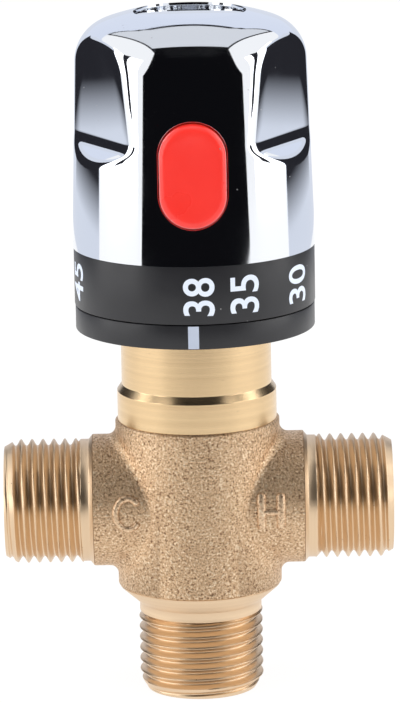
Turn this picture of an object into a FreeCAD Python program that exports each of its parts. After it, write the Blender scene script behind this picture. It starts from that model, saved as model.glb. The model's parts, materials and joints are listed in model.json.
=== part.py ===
"""Mixing valve with a temperature knob: cast brass cross body, regulating cartridge, check valves, knob.

Millimetres. The origin is the centre of the outlet's end face. +Z runs up the spindle,
+X is the hot inlet, -X the cold inlet, and the knob's button faces -Y.
"""
import FreeCAD, Part
import math
import os
import re

import Sketcher
from FreeCAD import Placement, Rotation, Vector

SIZES = {
    # running and seating clearances
    "slip": 0.05,
    "turn_gap": 0.15,
    # outlet and inlet ports: G 1/2 male ends
    "thread_radius": 10.3,
    "port_chamfer_drop": 1.2,
    "port_chamfer": 2.1,
    "shank_step": 0.15,
    "port_end_land": 1.6,
    "port_reach": 32.1,
    "port_height": 32.15,
    "collar_step": 0.64,
    "collar_reach": 17.4,
    "collar_bevel": 0.7,
    "inlet_thread_start": 19.3,
    "inlet_bore_depth": 15.1,
    "outlet_shank_height": 1.4,
    "outlet_cone_height": 2.9,
    "outlet_cone_land": 0.4,
    "barrel_step": 0.2,
    # cast barrel and turned neck
    "neck_setback": 0.43,
    "barrel_drop": 13.95,
    "barrel_rise": 13.85,
    "barrel_bevel": 0.3,
    "collar_blend": 1.6,
    "neck_step_width": 0.77,
    "neck_land": 5.0,
    "neck_step_height": 1.1,
    "neck_seat_width": 0.8,
    "neck_height": 16.4,
    "neck_wall": 1.6,
    "neck_spigot_height": 6.1,
    "clip_groove_depth": 0.6,
    "cartridge_bore": 10.0,
    "floor_thickness": 1.8,
    # slots from each inlet bore into the cartridge's two galleries
    "gallery_offset": 3.9,
    "passage_height": 5.0,
    "passage_width": 10.0,
    # cartridge sleeve
    "sleeve_foot_land": 1.2,
    "sleeve_foot_thickness": 2.0,
    "seat_land": 1.4,
    "seat_offset": 4.25,
    "sleeve_wall": 1.8,
    "gallery_depth": 0.8,
    "gallery_height": 4.0,
    "window_height": 2.0,
    "window_width": 7.0,
    "window_count": 4,
    "seal_depth": 1.05,
    "seal_height": 1.3,
    "lower_ring_drop": 4.2,
    "upper_ring_rise": 5.6,
    # bonnet: clamps the sleeve and carries the spindle
    "nut_flat_inset": 1.2,
    "nut_height": 5.0,
    "cold_seat_land": 1.6,
    "gland_depth": 4.4,
    "gland_bore": 5.0,
    # spindle
    "spindle_collar_clearance": 0.4,
    "spindle_collar_height": 1.6,
    "spindle_screw": 3.5,
    "screw_end_drop": 1.5,
    "spindle_top_drop": 4.5,
    "spline_start_rise": 6.65,
    "spline_radius": 4.4,
    "spline_depth": 0.5,
    "spline_half_width": 0.34,
    "spline_count": 16,
    "spindle_ring_drop": 2.5,
    # regulating set: nut, overtravel spring, thrust cup, element, spool
    "regulator_clearance": 0.1,
    "regulator_headroom": 4.0,
    "regulator_screw_length": 7.0,
    "regulator_skirt": 5.8,
    "regulator_key": 0.9,
    "regulator_skirt_wall": 0.9,
    "cup_height": 1.4,
    "piston_radius": 2.0,
    "piston_well_depth": 4.6,
    "piston_reach": 2.6,
    "element_guide_wall": 1.2,
    "element_bevel": 1.5,
    "element_radius": 4.6,
    "element_bulb_length": 6.0,
    "element_tail_radius": 3.4,
    "element_shoulder_rise": 1.5,
    "element_flange_radius": 5.2,
    "seat_gap": 1.0,
    "spool_hub_height": 3.0,
    "spool_hub_lip": 1.0,
    "spoke_width": 2.4,
    "spoke_count": 3,
    "spool_wall": 1.3,
    "return_wire": 0.5,
    "return_coils": 4,
    "overtravel_wire": 0.5,
    "overtravel_coils": 2,
    # check valves in the inlets
    "cage_length": 8.4,
    "plenum_reserve": 0.6,
    "cage_wall": 1.1,
    "cage_seat_land": 0.7,
    "cage_seat_length": 1.6,
    "poppet_clearance": 2.2,
    "poppet_stem": 1.2,
    "poppet_stroke": 2.2,
    "poppet_head": 1.2,
    "spider_thickness": 1.4,
    "spider_hub_radius": 2.4,
    "snap_ring_width": 0.8,
    "snap_ring_section": 1.3,
    "check_wire": 0.3,
    "check_coils": 3,
    # stop ring under the dial
    "stop_ring_inset": 0.23,
    "stop_ring_skirt": 0.7,
    "stop_ring_height": 3.95,
    "stop_ring_plate": 1.5,
    "stop_ring_wall": 1.7,
    "stop_hub_wall": 2.4,
    "stop_hub_height": 3.6,
    "snap_clip_width": 1.0,
    "snap_clip_section": 2.2,
    "stop_sector_gap": 1.0,
    "stop_sector_height": 3.0,
    "colder_travel": 118.0,
    "hotter_travel": 82.0,
    "stop_rib_half_angle": 4.0,
    "stop_touch_angle": 1.0,
    # dial ring
    "dial_inset": 0.13,
    "dial_height": 9.7,
    "dial_wall": 2.2,
    "dial_flange": 1.4,
    "dial_step": 2.3,
    "dial_spigot_wall": 1.5,
    "dial_spigot_height": 3.6,
    # knob shell
    "shell_foot_radius": 19.93,
    "shell_taper": 1.168,
    "shell_shoulder_drop": 3.205,
    "shoulder_blend": 7.0,
    "crown_blend": 43.0,
    "cap_recess_radius": 9.2,
    "shell_height": 38.55,
    "cap_recess_depth": 2.7,
    "shell_wall": 4.73,
    "roof_slope_height": 5.0,
    "roof_thickness": 2.7,
    "roof_slope_inset": 4.7,
    "roof_hole": 6.0,
    "grip_depth": 3.03,
    "grip_ledge_rise": 18.15,
    "grip_height": 10.1,
    "grip_arch_radius": 5.0,
    "grip_reach": 8.0,
    "grip_count": 3,
    # button in the knob's front
    "button_width": 10.8,
    "button_tall": 17.0,
    "button_rise": 14.7,
    "button_proud": 0.97,
    "button_gap": 0.2,
    "button_round": 1.1,
    "button_flange_inset": 1.7,
    "button_flange": 1.0,
    "button_flange_lip": 0.8,
    "catch_width": 4.0,
    "catch_drop": 6.0,
    "button_wire": 0.4,
    "button_coils": 4,
    "button_coil_radius": 3.2,
    # spline insert, screw and cap
    "insert_radius": 7.0,
    "insert_collar": 5.9,
    "insert_collar_drop": 0.5,
    "insert_pad_face": 7.6,
    "screw_seat_drop": 9.9,
    "screw_head_radius": 3.6,
    "screw_head_height": 3.0,
    "screw_radius": 2.0,
    "screw_reach": 13.5,
    "screw_socket_width": 3.0,
    "screw_socket_depth": 1.8,
    "cap_thickness": 1.9,
    "cap_plug_radius": 4.0,
    "cap_plug_drop": 1.6,
}

# Heights above the outlet and radii that follow from the sizes above.
PLACES = {
    "barrel_foot": "port_height - barrel_drop",
    "outlet_cone_top": "barrel_foot - outlet_cone_land",
    "outlet_shank_top": "outlet_cone_top - outlet_cone_height",
    "outlet_thread_top": "outlet_shank_top - outlet_shank_height",
    "inlet_bore_end": "port_reach - inlet_bore_depth",
    "barrel_top": "port_height + barrel_rise",
    "neck_step_low": "barrel_top + neck_land",
    "neck_step_high": "neck_step_low + neck_step_height",
    "neck_seat": "barrel_top + neck_height",
    "neck_top": "neck_seat + neck_spigot_height",
    "cartridge_floor": "barrel_foot + floor_thickness",
    "sleeve_mouth": "barrel_top",
    "sleeve_foot": "cartridge_floor + sleeve_foot_thickness",
    "hot_seat": "port_height - seat_offset",
    "cold_seat": "port_height + seat_offset",
    "lower_ring_height": "hot_seat - lower_ring_drop",
    "upper_ring_height": "cold_seat + upper_ring_rise",
    "guide_roof": "neck_seat - gland_depth",
    "spindle_ring_height": "neck_top - spindle_ring_drop",
    "regulator_top": "guide_roof - regulator_headroom",
    "regulator_web": "regulator_top - regulator_screw_length",
    "spindle_screw_end": "regulator_web - screw_end_drop",
    "regulator_foot": "regulator_web - regulator_skirt",
    "element_top": "regulator_foot - piston_reach",
    "piston_well": "element_top - piston_well_depth",
    "element_shoulder": "hot_seat + element_shoulder_rise",
    "element_foot": "element_shoulder - element_bulb_length",
    "stop_ring_radius": "shell_foot_radius - stop_ring_inset",
    "stop_ring_base": "neck_seat - stop_ring_skirt",
    "stop_ring_top": "stop_ring_base + stop_ring_height",
    "stop_hub_top": "neck_seat + stop_hub_height",
    "stop_sector_top": "stop_hub_top + stop_sector_height",
    "dial_radius": "shell_foot_radius - dial_inset",
    "stop_sector_outer": "dial_radius - dial_wall - stop_sector_gap",
    "dial_top": "stop_ring_top + dial_height",
    "spline_start": "dial_top + spline_start_rise",
    "dial_spigot_radius": "dial_radius - dial_step",
    "shell_shoulder_radius": "shell_foot_radius - shell_taper",
    "cap_rim": "dial_top + shell_height",
    "shell_shoulder": "cap_rim - shell_shoulder_drop",
    "cap_ledge": "cap_rim - cap_recess_depth",
    "shell_bore": "shell_foot_radius - shell_wall",
    "shell_roof": "cap_ledge - roof_thickness",
    "shell_bore_top": "shell_roof - roof_slope_height",
    "shell_roof_radius": "shell_bore - roof_slope_inset",
    "grip_plane": "shell_foot_radius - grip_depth",
    "grip_ledge": "dial_top + grip_ledge_rise",
    "grip_arch": "grip_ledge + grip_height",
    "button_height": "dial_top + button_rise",
    "button_face": "shell_foot_radius + button_proud",
    "button_flange_face": "shell_bore - button_flange_inset",
    "insert_collar_top": "cap_ledge - insert_collar_drop",
    "screw_seat": "cap_rim - screw_seat_drop",
    "spindle_top": "screw_seat - spindle_top_drop",
    "screw_tip": "spindle_top - screw_reach",
    "shank_radius": "thread_radius - shank_step",
    "port_end_radius": "thread_radius - port_chamfer_drop",
    "port_bore_radius": "port_end_radius - port_end_land",
    "collar_radius": "thread_radius + collar_step",
    "cage_plenum": "poppet_stroke + plenum_reserve",
    "poppet_radius": "port_bore_radius - poppet_clearance",
    "cage_seat_radius": "poppet_radius - cage_seat_land",
    "neck_top_radius": "cartridge_bore + neck_wall",
    "neck_upper_radius": "neck_top_radius + neck_seat_width",
    "neck_radius": "neck_upper_radius + neck_step_width",
    "barrel_radius": "neck_radius + neck_setback",
    "outlet_cone_radius": "barrel_radius - barrel_step",
    "nut_width": "2 * neck_top_radius - nut_flat_inset",
    "snap_clip_radius": "neck_top_radius - clip_groove_depth + snap_clip_section",
    "stop_hub_radius": "neck_top_radius + stop_hub_wall",
    "spool_bore": "cartridge_bore - sleeve_wall",
    "spring_pocket": "spool_bore - seat_land",
    "sleeve_foot_bore": "spring_pocket - sleeve_foot_land",
    "guide_bore": "spool_bore - cold_seat_land",
    "regulator_radius": "guide_bore - regulator_clearance",
    "cup_radius": "regulator_radius - regulator_skirt_wall",
    "spindle_collar": "guide_bore - spindle_collar_clearance",
}

document = FreeCAD.newDocument("MixingValve")
sheet = document.addObject("Spreadsheet::Sheet", "Sizes")
rows = [*SIZES.items(), *((alias, f"={formula}") for alias, formula in PLACES.items())]
for row, (alias, content) in enumerate(rows, start=1):
    sheet.set(f"A{row}", alias)
    sheet.set(f"B{row}", str(content))
    sheet.setAlias(f"B{row}", alias)
document.recompute()

FULL_TURN = 360.0
STEPS_PER_COIL = 12
SHEET_WORDS = {alias: f"Sizes.{alias}" for alias, content in rows}
pieces = []


def sized(text):
    """An expression with each alias written as the sheet's own cell."""
    return re.sub(r"[a-z_]+", lambda word: SHEET_WORDS.get(word[0], word[0]), text)


def value(text):
    """The number that an expression stands for at the present sizes."""
    result = sheet.evalExpression(sized(text))
    return float(getattr(result, "Value", result))


def bind(thing, prop, text):
    thing.setExpression(prop, sized(text))


# ---- sketches -----------------------------------------------------------------------------------

def origin_plane(body, role):
    return next(feature for feature in body.Origin.OriginFeatures if feature.Role == role)


def new_sketch(body, name, role, across="0", up="0", out="0"):
    """A sketch flat on one of the body's own planes, shifted across, up and out by expressions."""
    sketch = body.newObject("Sketcher::SketchObject", name)
    sketch.AttachmentSupport = [(origin_plane(body, role), "")]
    sketch.MapMode = "FlatFace"
    for axis, shift in (("x", across), ("y", up), ("z", out)):
        if shift != "0":
            bind(sketch, f"AttachmentOffset.Base.{axis}", shift)
    return sketch


def fix_point(sketch, geometry, point, across, up):
    """Hold one point of a sketch at two expressions."""
    for kind, text, axis in (("DistanceX", across, -2), ("DistanceY", up, -1)):
        if text == "0":
            sketch.addConstraint(Sketcher.Constraint("PointOnObject", geometry, point, axis))
            continue
        constraint = Sketcher.Constraint(kind, -1, 1, geometry, point, value(text))
        number = sketch.addConstraint(constraint)
        bind(sketch, f"Constraints[{number}]", text)


def arc_between(start, end, radius):
    """The arc from start to end; a positive radius turns left on the way, a negative one right."""
    chord = end - start
    reach = math.sqrt(max(radius * radius - chord.Length ** 2 / 4, 0.0))
    left = Vector(-chord.y, chord.x, 0).normalize()
    side = 1 if radius > 0 else -1
    centre = (start + end) * 0.5 + left * (reach * side)
    first, last = (start, end) if side > 0 else (end, start)
    angles = [math.atan2(point.y - centre.y, point.x - centre.x) for point in (first, last)]
    return Part.ArcOfCircle(Part.Circle(centre, Vector(0, 0, 1), abs(radius)), *angles)


def outline(sketch, corners):
    """A closed outline through corners (across, up), each reached by a line or, with a third
    entry, by an arc of that radius; a leading minus on the radius turns the arc right."""
    points = [Vector(value(corner[0]), value(corner[1]), 0) for corner in corners]
    ends = []
    for index, corner in enumerate(corners):
        start, end = points[index - 1], points[index]
        if len(corner) == 3:
            turns_right = corner[2].startswith("-")
            radius = corner[2].lstrip("-")
            signed = -value(radius) if turns_right else value(radius)
            number = sketch.addGeometry(arc_between(start, end, signed), False)
            ends.append((number, 2, 1) if turns_right else (number, 1, 2))
            constraint = Sketcher.Constraint("Radius", number, value(radius))
            bind(sketch, f"Constraints[{sketch.addConstraint(constraint)}]", radius)
        else:
            number = sketch.addGeometry(Part.LineSegment(start, end), False)
            ends.append((number, 1, 2))
    for index, corner in enumerate(corners):
        number, _, end_point = ends[index]
        following, start_point, _ = ends[(index + 1) % len(ends)]
        sketch.addConstraint(
            Sketcher.Constraint("Coincident", number, end_point, following, start_point))
        fix_point(sketch, number, end_point, corner[0], corner[1])
    return sketch


def circle(sketch, radius, across="0", up="0"):
    centre = Vector(value(across), value(up), 0)
    number = sketch.addGeometry(Part.Circle(centre, Vector(0, 0, 1), value(radius)), False)
    constraint = Sketcher.Constraint("Radius", number, value(radius))
    bind(sketch, f"Constraints[{sketch.addConstraint(constraint)}]", radius)
    fix_point(sketch, number, 3, across, up)
    return sketch


def slot(sketch, width, tall, upright=True):
    """A slot about the sketch's origin with round ends, upright or lying."""
    longer, shorter = (tall, width) if upright else (width, tall)
    straight = f"({longer}) / 2 - ({shorter}) / 2"
    radius = f"({shorter}) / 2"
    reach, bend = value(straight), value(radius)
    heading = math.pi / 2 if upright else 0.0
    arcs, sides = [], []
    for end in (0, 1):
        angle = heading + end * math.pi
        centre = Vector(math.cos(angle), math.sin(angle), 0) * reach
        round_end = Part.Circle(centre, Vector(0, 0, 1), bend)
        quarter = math.pi / 2
        arcs.append(sketch.addGeometry(
            Part.ArcOfCircle(round_end, angle - quarter, angle + quarter), False))
    for end in (0, 1):
        start = sketch.getPoint(arcs[end], 2)
        finish = sketch.getPoint(arcs[1 - end], 1)
        sides.append(sketch.addGeometry(Part.LineSegment(start, finish), False))
    for end in (0, 1):
        sketch.addConstraint(Sketcher.Constraint("Tangent", arcs[end], 2, sides[end], 1))
        sketch.addConstraint(Sketcher.Constraint("Tangent", sides[end], 2, arcs[1 - end], 1))
    for end, sign in ((0, ""), (1, "-")):
        number = sketch.addConstraint(Sketcher.Constraint("Radius", arcs[end], bend))
        bind(sketch, f"Constraints[{number}]", radius)
        along = f"{sign}({straight})"
        across, up = ("0", along) if upright else (along, "0")
        fix_point(sketch, arcs[end], 3, across, up)
    return sketch


def box_corners(left, right, low, high):
    return [(left, low), (right, low), (right, high), (left, high)]


# ---- features -----------------------------------------------------------------------------------

def new_body(label):
    body = document.addObject("PartDesign::Body", f"{label}_body")
    body.Label = label
    pieces.append(body)
    return body


def turn(body, name, sketch, axis="V_Axis", angle=None, cut=False):
    """Revolve a sketch about one of its axes, as solid or as a cut."""
    kind = "PartDesign::Groove" if cut else "PartDesign::Revolution"
    feature = body.newObject(kind, name)
    feature.Profile = sketch
    feature.ReferenceAxis = (sketch, [axis])
    if angle is None:
        feature.Angle = FULL_TURN
    else:
        feature.Midplane = True
        bind(feature, "Angle", angle)
    return finish_feature(body, feature, cut)


def pad(body, name, sketch, length, midplane=False, reverse=False):
    feature = body.newObject("PartDesign::Pad", name)
    feature.Profile = sketch
    bind(feature, "Length", length)
    feature.Midplane = midplane
    feature.Reversed = reverse
    return finish_feature(body, feature, False)


def pocket(body, name, sketch, length, midplane=False, reverse=False):
    feature = body.newObject("PartDesign::Pocket", name)
    feature.Profile = sketch
    bind(feature, "Length", length)
    feature.Midplane = midplane
    feature.Reversed = reverse
    return finish_feature(body, feature, True)


def finish_feature(body, feature, cut):
    """Recompute and make sure that the feature really added or removed material."""
    before = feature.BaseFeature.Shape.Volume if feature.BaseFeature else 0.0
    document.recompute()
    after = feature.Shape.Volume
    grew = after > before + 1e-6
    shrank = after < before - 1e-6
    if (cut and not shrank) or (not cut and not grew):
        raise RuntimeError(f"{feature.Label} changed nothing: {before:.3f} to {after:.3f}")
    return feature


def mirrored(body, name, originals, role="YZ_Plane"):
    feature = body.newObject("PartDesign::Mirrored", name)
    feature.Originals = originals
    feature.MirrorPlane = (origin_plane(body, role), [""])
    body.Tip = feature
    document.recompute()
    return feature


def around(body, name, originals, count, role="Z_Axis"):
    """Repeat features evenly about an axis of the body."""
    feature = body.newObject("PartDesign::PolarPattern", name)
    feature.Originals = originals
    feature.Axis = (origin_plane(body, role), [""])
    feature.Angle = FULL_TURN
    bind(feature, "Occurrences", count)
    body.Tip = feature
    document.recompute()
    return feature


def edges_where(shape, wanted):
    return [f"Edge{number}" for number, edge in enumerate(shape.Edges, start=1) if wanted(edge)]


def dress(body, kind, name, base, edge_names, size_property, size):
    """A fillet or chamfer on the named edges of a feature."""
    feature = body.newObject(kind, name)
    feature.Base = (base, edge_names)
    bind(feature, size_property, size)
    document.recompute()
    return feature


def turned_piece(label, corners, role="XZ_Plane", axis="V_Axis"):
    """A body revolved from one outline."""
    body = new_body(label)
    sketch = outline(new_sketch(body, f"{label}_outline", role), corners)
    turn(body, f"{label}_turn", sketch, axis)
    return body


def seal_ring(label, bore, depth, height):
    """A rubber ring squeezed square in its groove, about the spindle's axis."""
    return turned_piece(label, box_corners(
        f"{bore} - {depth}", f"{bore} - slip / 2",
        f"{height} - seal_height / 2", f"{height} + seal_height / 2"))


def place_at_port(thing, side):
    """Carry a piece drawn about the X axis to an inlet: side +1 is hot, -1 is cold."""
    thing.Placement = Placement(Vector(0, 0, 0), Rotation(Vector(0, 0, 1), 0 if side > 0 else 180))
    bind(thing, "Placement.Base.z", "port_height")


# ---- coil springs -------------------------------------------------------------------------------

def coil_spring(label, radius, wire, coils, start, end, placement):
    """A helix of square wire that just reaches both of its seats, along its own Z."""
    mean, half, turns = value(radius), value(wire), int(value(coils))
    low, high = value(start) + half, value(end) - half
    steps = turns * STEPS_PER_COIL
    sections = []
    for step in range(steps + 1):
        angle = 2 * math.pi * step / STEPS_PER_COIL
        outward = Vector(math.cos(angle), math.sin(angle), 0)
        centre = outward * mean + Vector(0, 0, low + (high - low) * step / steps)
        corners = [centre + outward * (half * across) + Vector(0, 0, half * up)
                   for across, up in ((-1, -1), (1, -1), (1, 1), (-1, 1), (-1, -1))]
        sections.append(Part.makePolygon(corners))
    spring = document.addObject("Part::Feature", f"{label}_coil")
    spring.Label = label
    spring.Shape = Part.makeLoft(sections, True, True)
    spring.Placement = placement
    pieces.append(spring)
    return spring


# ---- valve body ---------------------------------------------------------------------------------

def port_profile():
    """Half outline of an inlet, X along the port and Y its radius, from the barrel to the end."""
    return [
        ("0", "0"),
        ("port_reach", "0"),
        ("port_reach", "port_end_radius"),
        ("port_reach - port_chamfer", "thread_radius"),
        ("inlet_thread_start", "thread_radius"),
        ("inlet_thread_start", "shank_radius"),
        ("collar_reach + collar_bevel", "shank_radius"),
        ("collar_reach", "collar_radius"),
        ("0", "collar_radius"),
    ]


def is_cast_seam(edge):
    """The curve where an inlet's round collar leaves the barrel."""
    return type(edge.Curve).__name__ == "BSplineCurve"


def build_valve_body():
    body = new_body("valve_body")
    barrel = outline(new_sketch(body, "barrel_outline", "XZ_Plane"), [
        ("0", "barrel_foot"),
        ("barrel_radius", "barrel_foot"),
        ("barrel_radius", "barrel_top - barrel_bevel"),
        ("barrel_radius - barrel_bevel", "barrel_top"),
        ("0", "barrel_top"),
    ])
    turn(body, "barrel", barrel)
    collar = new_sketch(body, "inlet_outline", "XZ_Plane", up="port_height")
    outline(collar, port_profile())
    hot_port = turn(body, "hot_port", collar, "H_Axis")
    ports = mirrored(body, "both_ports", [hot_port])
    seams = edges_where(ports.Shape, is_cast_seam)
    dress(body, "PartDesign::Fillet", "cast_blend", ports, seams, "Radius", "collar_blend")

    outlet = outline(new_sketch(body, "outlet_outline", "XZ_Plane"), [
        ("0", "0"),
        ("port_end_radius", "0"),
        ("thread_radius", "port_chamfer"),
        ("thread_radius", "outlet_thread_top"),
        ("shank_radius", "outlet_thread_top"),
        ("shank_radius", "outlet_shank_top"),
        ("outlet_cone_radius", "outlet_cone_top"),
        ("outlet_cone_radius", "barrel_foot"),
        ("0", "barrel_foot"),
    ])
    turn(body, "outlet", outlet)
    neck = outline(new_sketch(body, "neck_outline", "XZ_Plane"), [
        ("0", "barrel_top"),
        ("neck_radius", "barrel_top"),
        ("neck_radius", "neck_step_low"),
        ("neck_upper_radius", "neck_step_high"),
        ("neck_upper_radius", "neck_seat"),
        ("neck_top_radius", "neck_seat"),
        ("neck_top_radius", "stop_hub_top"),
        ("neck_top_radius - clip_groove_depth", "stop_hub_top"),
        ("neck_top_radius - clip_groove_depth", "stop_hub_top + snap_clip_width + slip"),
        ("neck_top_radius", "stop_hub_top + snap_clip_width + slip"),
        ("neck_top_radius", "neck_top"),
        ("0", "neck_top"),
    ])
    turn(body, "neck", neck)

    bore = outline(new_sketch(body, "bore_outline", "XZ_Plane"), [
        ("0", "0"),
        ("port_bore_radius", "0"),
        ("port_bore_radius", "cartridge_floor"),
        ("cartridge_bore", "cartridge_floor"),
        ("cartridge_bore", "neck_top"),
        ("0", "neck_top"),
    ])
    turn(body, "main_bore", bore, cut=True)
    inlet = new_sketch(body, "inlet_bore_outline", "XZ_Plane", up="port_height")
    outline(inlet, inlet_bore_corners())
    hot_bore = turn(body, "hot_bore", inlet, "H_Axis", cut=True)
    mirrored(body, "both_bores", [hot_bore])

    for side, label, sign in ((1, "hot", "-"), (-1, "cold", "+")):
        level = f"port_height {sign} gallery_offset"
        passage = new_sketch(body, f"{label}_passage_outline", "YZ_Plane", up=level)
        slot(passage, "passage_width", "passage_height", upright=False)
        pocket(body, f"{label}_passage", passage, "inlet_bore_end + slip", reverse=side > 0)
    return body


def inlet_bore_corners():
    """The inlet's bore with the groove that its snap ring sits in."""
    groove = "inlet_bore_end + cage_plenum + cage_length"
    return [
        ("inlet_bore_end", "0"),
        ("port_reach", "0"),
        ("port_reach", "port_bore_radius"),
        (f"{groove} + snap_ring_width + slip", "port_bore_radius"),
        (f"{groove} + snap_ring_width + slip", "port_bore_radius + clip_groove_depth"),
        (groove, "port_bore_radius + clip_groove_depth"),
        (groove, "port_bore_radius"),
        ("inlet_bore_end", "port_bore_radius"),
    ]


# ---- cartridge ----------------------------------------------------------------------------------

def seal_groove(bore, height):
    """Half outline of a seal's groove, cut in from the outside."""
    return box_corners(f"{bore} - seal_depth", f"{bore}",
                       f"{height} - seal_height / 2 - slip", f"{height} + seal_height / 2 + slip")


def build_sleeve():
    """The sleeve that the spool slides in: two window galleries and three O-ring grooves."""
    body = turned_piece("cartridge_sleeve", [
        ("sleeve_foot_bore", "cartridge_floor"),
        ("cartridge_bore - slip", "cartridge_floor"),
        ("cartridge_bore - slip", "sleeve_mouth"),
        ("spool_bore", "sleeve_mouth"),
        ("spool_bore", "hot_seat"),
        ("spring_pocket", "hot_seat"),
        ("spring_pocket", "sleeve_foot"),
        ("sleeve_foot_bore", "sleeve_foot"),
    ])
    for label, sign in (("hot", "-"), ("cold", "+")):
        middle = f"port_height {sign} gallery_offset"
        gallery = outline(new_sketch(body, f"{label}_gallery_outline", "XZ_Plane"), box_corners(
            "cartridge_bore - slip - gallery_depth", "cartridge_bore",
            f"{middle} - gallery_height / 2", f"{middle} + gallery_height / 2"))
        turn(body, f"{label}_gallery", gallery, cut=True)
        low = "hot_seat" if label == "hot" else "cold_seat - window_height"
        window = new_sketch(body, f"{label}_window_outline", "YZ_Plane", up=f"{low} + window_height / 2")
        outline(window, box_corners("-window_width / 2", "window_width / 2",
                                    "-window_height / 2", "window_height / 2"))
        cut = pocket(body, f"{label}_window", window, "cartridge_bore", reverse=True)
        around(body, f"{label}_windows", [cut], "window_count")
    for label, height in SLEEVE_RINGS:
        groove = new_sketch(body, f"{label}_groove_outline", "XZ_Plane")
        outline(groove, seal_groove("cartridge_bore", height))
        turn(body, f"{label}_groove", groove, cut=True)
        seal_ring(label, "cartridge_bore", "seal_depth", height)
    return body


SLEEVE_RINGS = [
    ("lower_o_ring", "lower_ring_height"),
    ("middle_o_ring", "port_height"),
    ("upper_o_ring", "upper_ring_height"),
]


def build_bonnet():
    """The brass top of the cartridge: cold seat, guide for the regulating nut, gland and hexagon."""
    body = turned_piece("cartridge_bonnet", [
        ("guide_bore", "cold_seat"),
        ("spool_bore - slip", "cold_seat"),
        ("spool_bore - slip", "sleeve_mouth + slip"),
        ("cartridge_bore - slip", "sleeve_mouth + slip"),
        ("cartridge_bore - slip", "neck_top"),
        ("neck_top_radius", "neck_top"),
        ("neck_top_radius", "neck_top + nut_height"),
        ("gland_bore", "neck_top + nut_height"),
        ("gland_bore", "guide_roof"),
        ("guide_bore", "guide_roof"),
    ])
    nut = hexagon(new_sketch(body, "nut_outline", "XY_Plane", out="neck_top"), "nut_width")
    circle(nut, "gland_bore")
    pad(body, "nut", nut, "nut_height")
    for side in (1, -1):
        key = new_sketch(body, f"guide_key_{side + 1}_outline", "XY_Plane", out="cold_seat")
        outline(key, box_corners(
            "guide_bore - regulator_key" if side > 0 else "-guide_bore - slip",
            "guide_bore + slip" if side > 0 else "-guide_bore + regulator_key",
            "-regulator_key", "regulator_key"))
        pad(body, f"guide_key_{side + 1}", key, "regulator_top - cold_seat")
    return body


def hexagon(sketch, across_flats):
    """A hexagon about the origin with two flats facing -Y and +Y."""
    half = f"({across_flats}) / 2"
    corner = f"({across_flats}) / sqrt(3)"
    corners = [
        (corner, "0"),
        (f"{corner} / 2", half),
        (f"-{corner} / 2", half),
        (f"-{corner}", "0"),
        (f"-{corner} / 2", f"-{half}"),
        (f"{corner} / 2", f"-{half}"),
    ]
    return outline(sketch, corners)


def build_spindle():
    """Splined at the top for the knob, sealed in the gland, and a screw at the bottom."""
    groove_floor = "gland_bore - seal_depth"
    body = turned_piece("spindle", [
        ("0", "spindle_screw_end"),
        ("spindle_screw", "spindle_screw_end"),
        ("spindle_screw", "guide_roof - turn_gap - spindle_collar_height"),
        ("spindle_collar", "guide_roof - turn_gap - spindle_collar_height"),
        ("spindle_collar", "guide_roof - turn_gap"),
        ("gland_bore - slip", "guide_roof - turn_gap"),
        ("gland_bore - slip", "spindle_ring_height - seal_height / 2 - slip"),
        (groove_floor, "spindle_ring_height - seal_height / 2 - slip"),
        (groove_floor, "spindle_ring_height + seal_height / 2 + slip"),
        ("gland_bore - slip", "spindle_ring_height + seal_height / 2 + slip"),
        ("gland_bore - slip", "spline_start - slip"),
        ("spline_radius", "spline_start - slip"),
        ("spline_radius", "spindle_top"),
        ("0", "spindle_top"),
    ])
    flutes = new_sketch(body, "flute_outline", "XY_Plane", out="spline_start")
    outline(flutes, [
        ("spline_radius - spline_depth", "0"),
        ("spline_radius + slip", "-spline_half_width - slip"),
        ("spline_radius + slip", "spline_half_width + slip"),
    ])
    flute = pocket(body, "flute", flutes, "spindle_top - spline_start", reverse=True)
    around(body, "flutes", [flute], "spline_count")
    tapped = circle(new_sketch(body, "tapped_hole_outline", "XY_Plane", out="screw_tip"),
                    "screw_radius + slip")
    pocket(body, "tapped_hole", tapped, "spindle_top - screw_tip", reverse=True)
    seal_ring("spindle_o_ring", "gland_bore", "seal_depth", "spindle_ring_height")
    return body


# ---- regulating set -----------------------------------------------------------------------------

def build_regulator():
    """The nut that the spindle's screw drives up and down, keyed in the bonnet."""
    body = turned_piece("regulating_nut", [
        ("spindle_screw + slip", "regulator_web"),
        ("cup_radius + slip", "regulator_web"),
        ("cup_radius + slip", "regulator_foot"),
        ("regulator_radius", "regulator_foot"),
        ("regulator_radius", "regulator_top"),
        ("spindle_screw + slip", "regulator_top"),
    ])
    for side in (1, -1):
        key_way = new_sketch(body, f"key_way_{side + 1}_outline", "XY_Plane", out="regulator_foot")
        outline(key_way, box_corners(
            "guide_bore - regulator_key - slip" if side > 0 else "-guide_bore - slip",
            "guide_bore + slip" if side > 0 else "-guide_bore + regulator_key + slip",
            "-regulator_key - slip", "regulator_key + slip"))
        pocket(body, f"key_way_{side + 1}", key_way, "regulator_top - regulator_foot", reverse=True)
    turned_piece("thrust_cup", [
        ("0", "regulator_foot"),
        ("cup_radius", "regulator_foot"),
        ("cup_radius", "regulator_foot + cup_height"),
        ("0", "regulator_foot + cup_height"),
    ])
    turned_piece("element_piston", [
        ("0", "piston_well + seat_gap"),
        ("piston_radius - slip", "piston_well + seat_gap"),
        ("piston_radius - slip", "regulator_foot"),
        ("0", "regulator_foot"),
    ])
    coil_spring("overtravel_spring", "cup_radius - overtravel_wire - 2 * slip", "overtravel_wire",
                "overtravel_coils", "regulator_foot + cup_height", "regulator_web", Placement())
    return body


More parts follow.
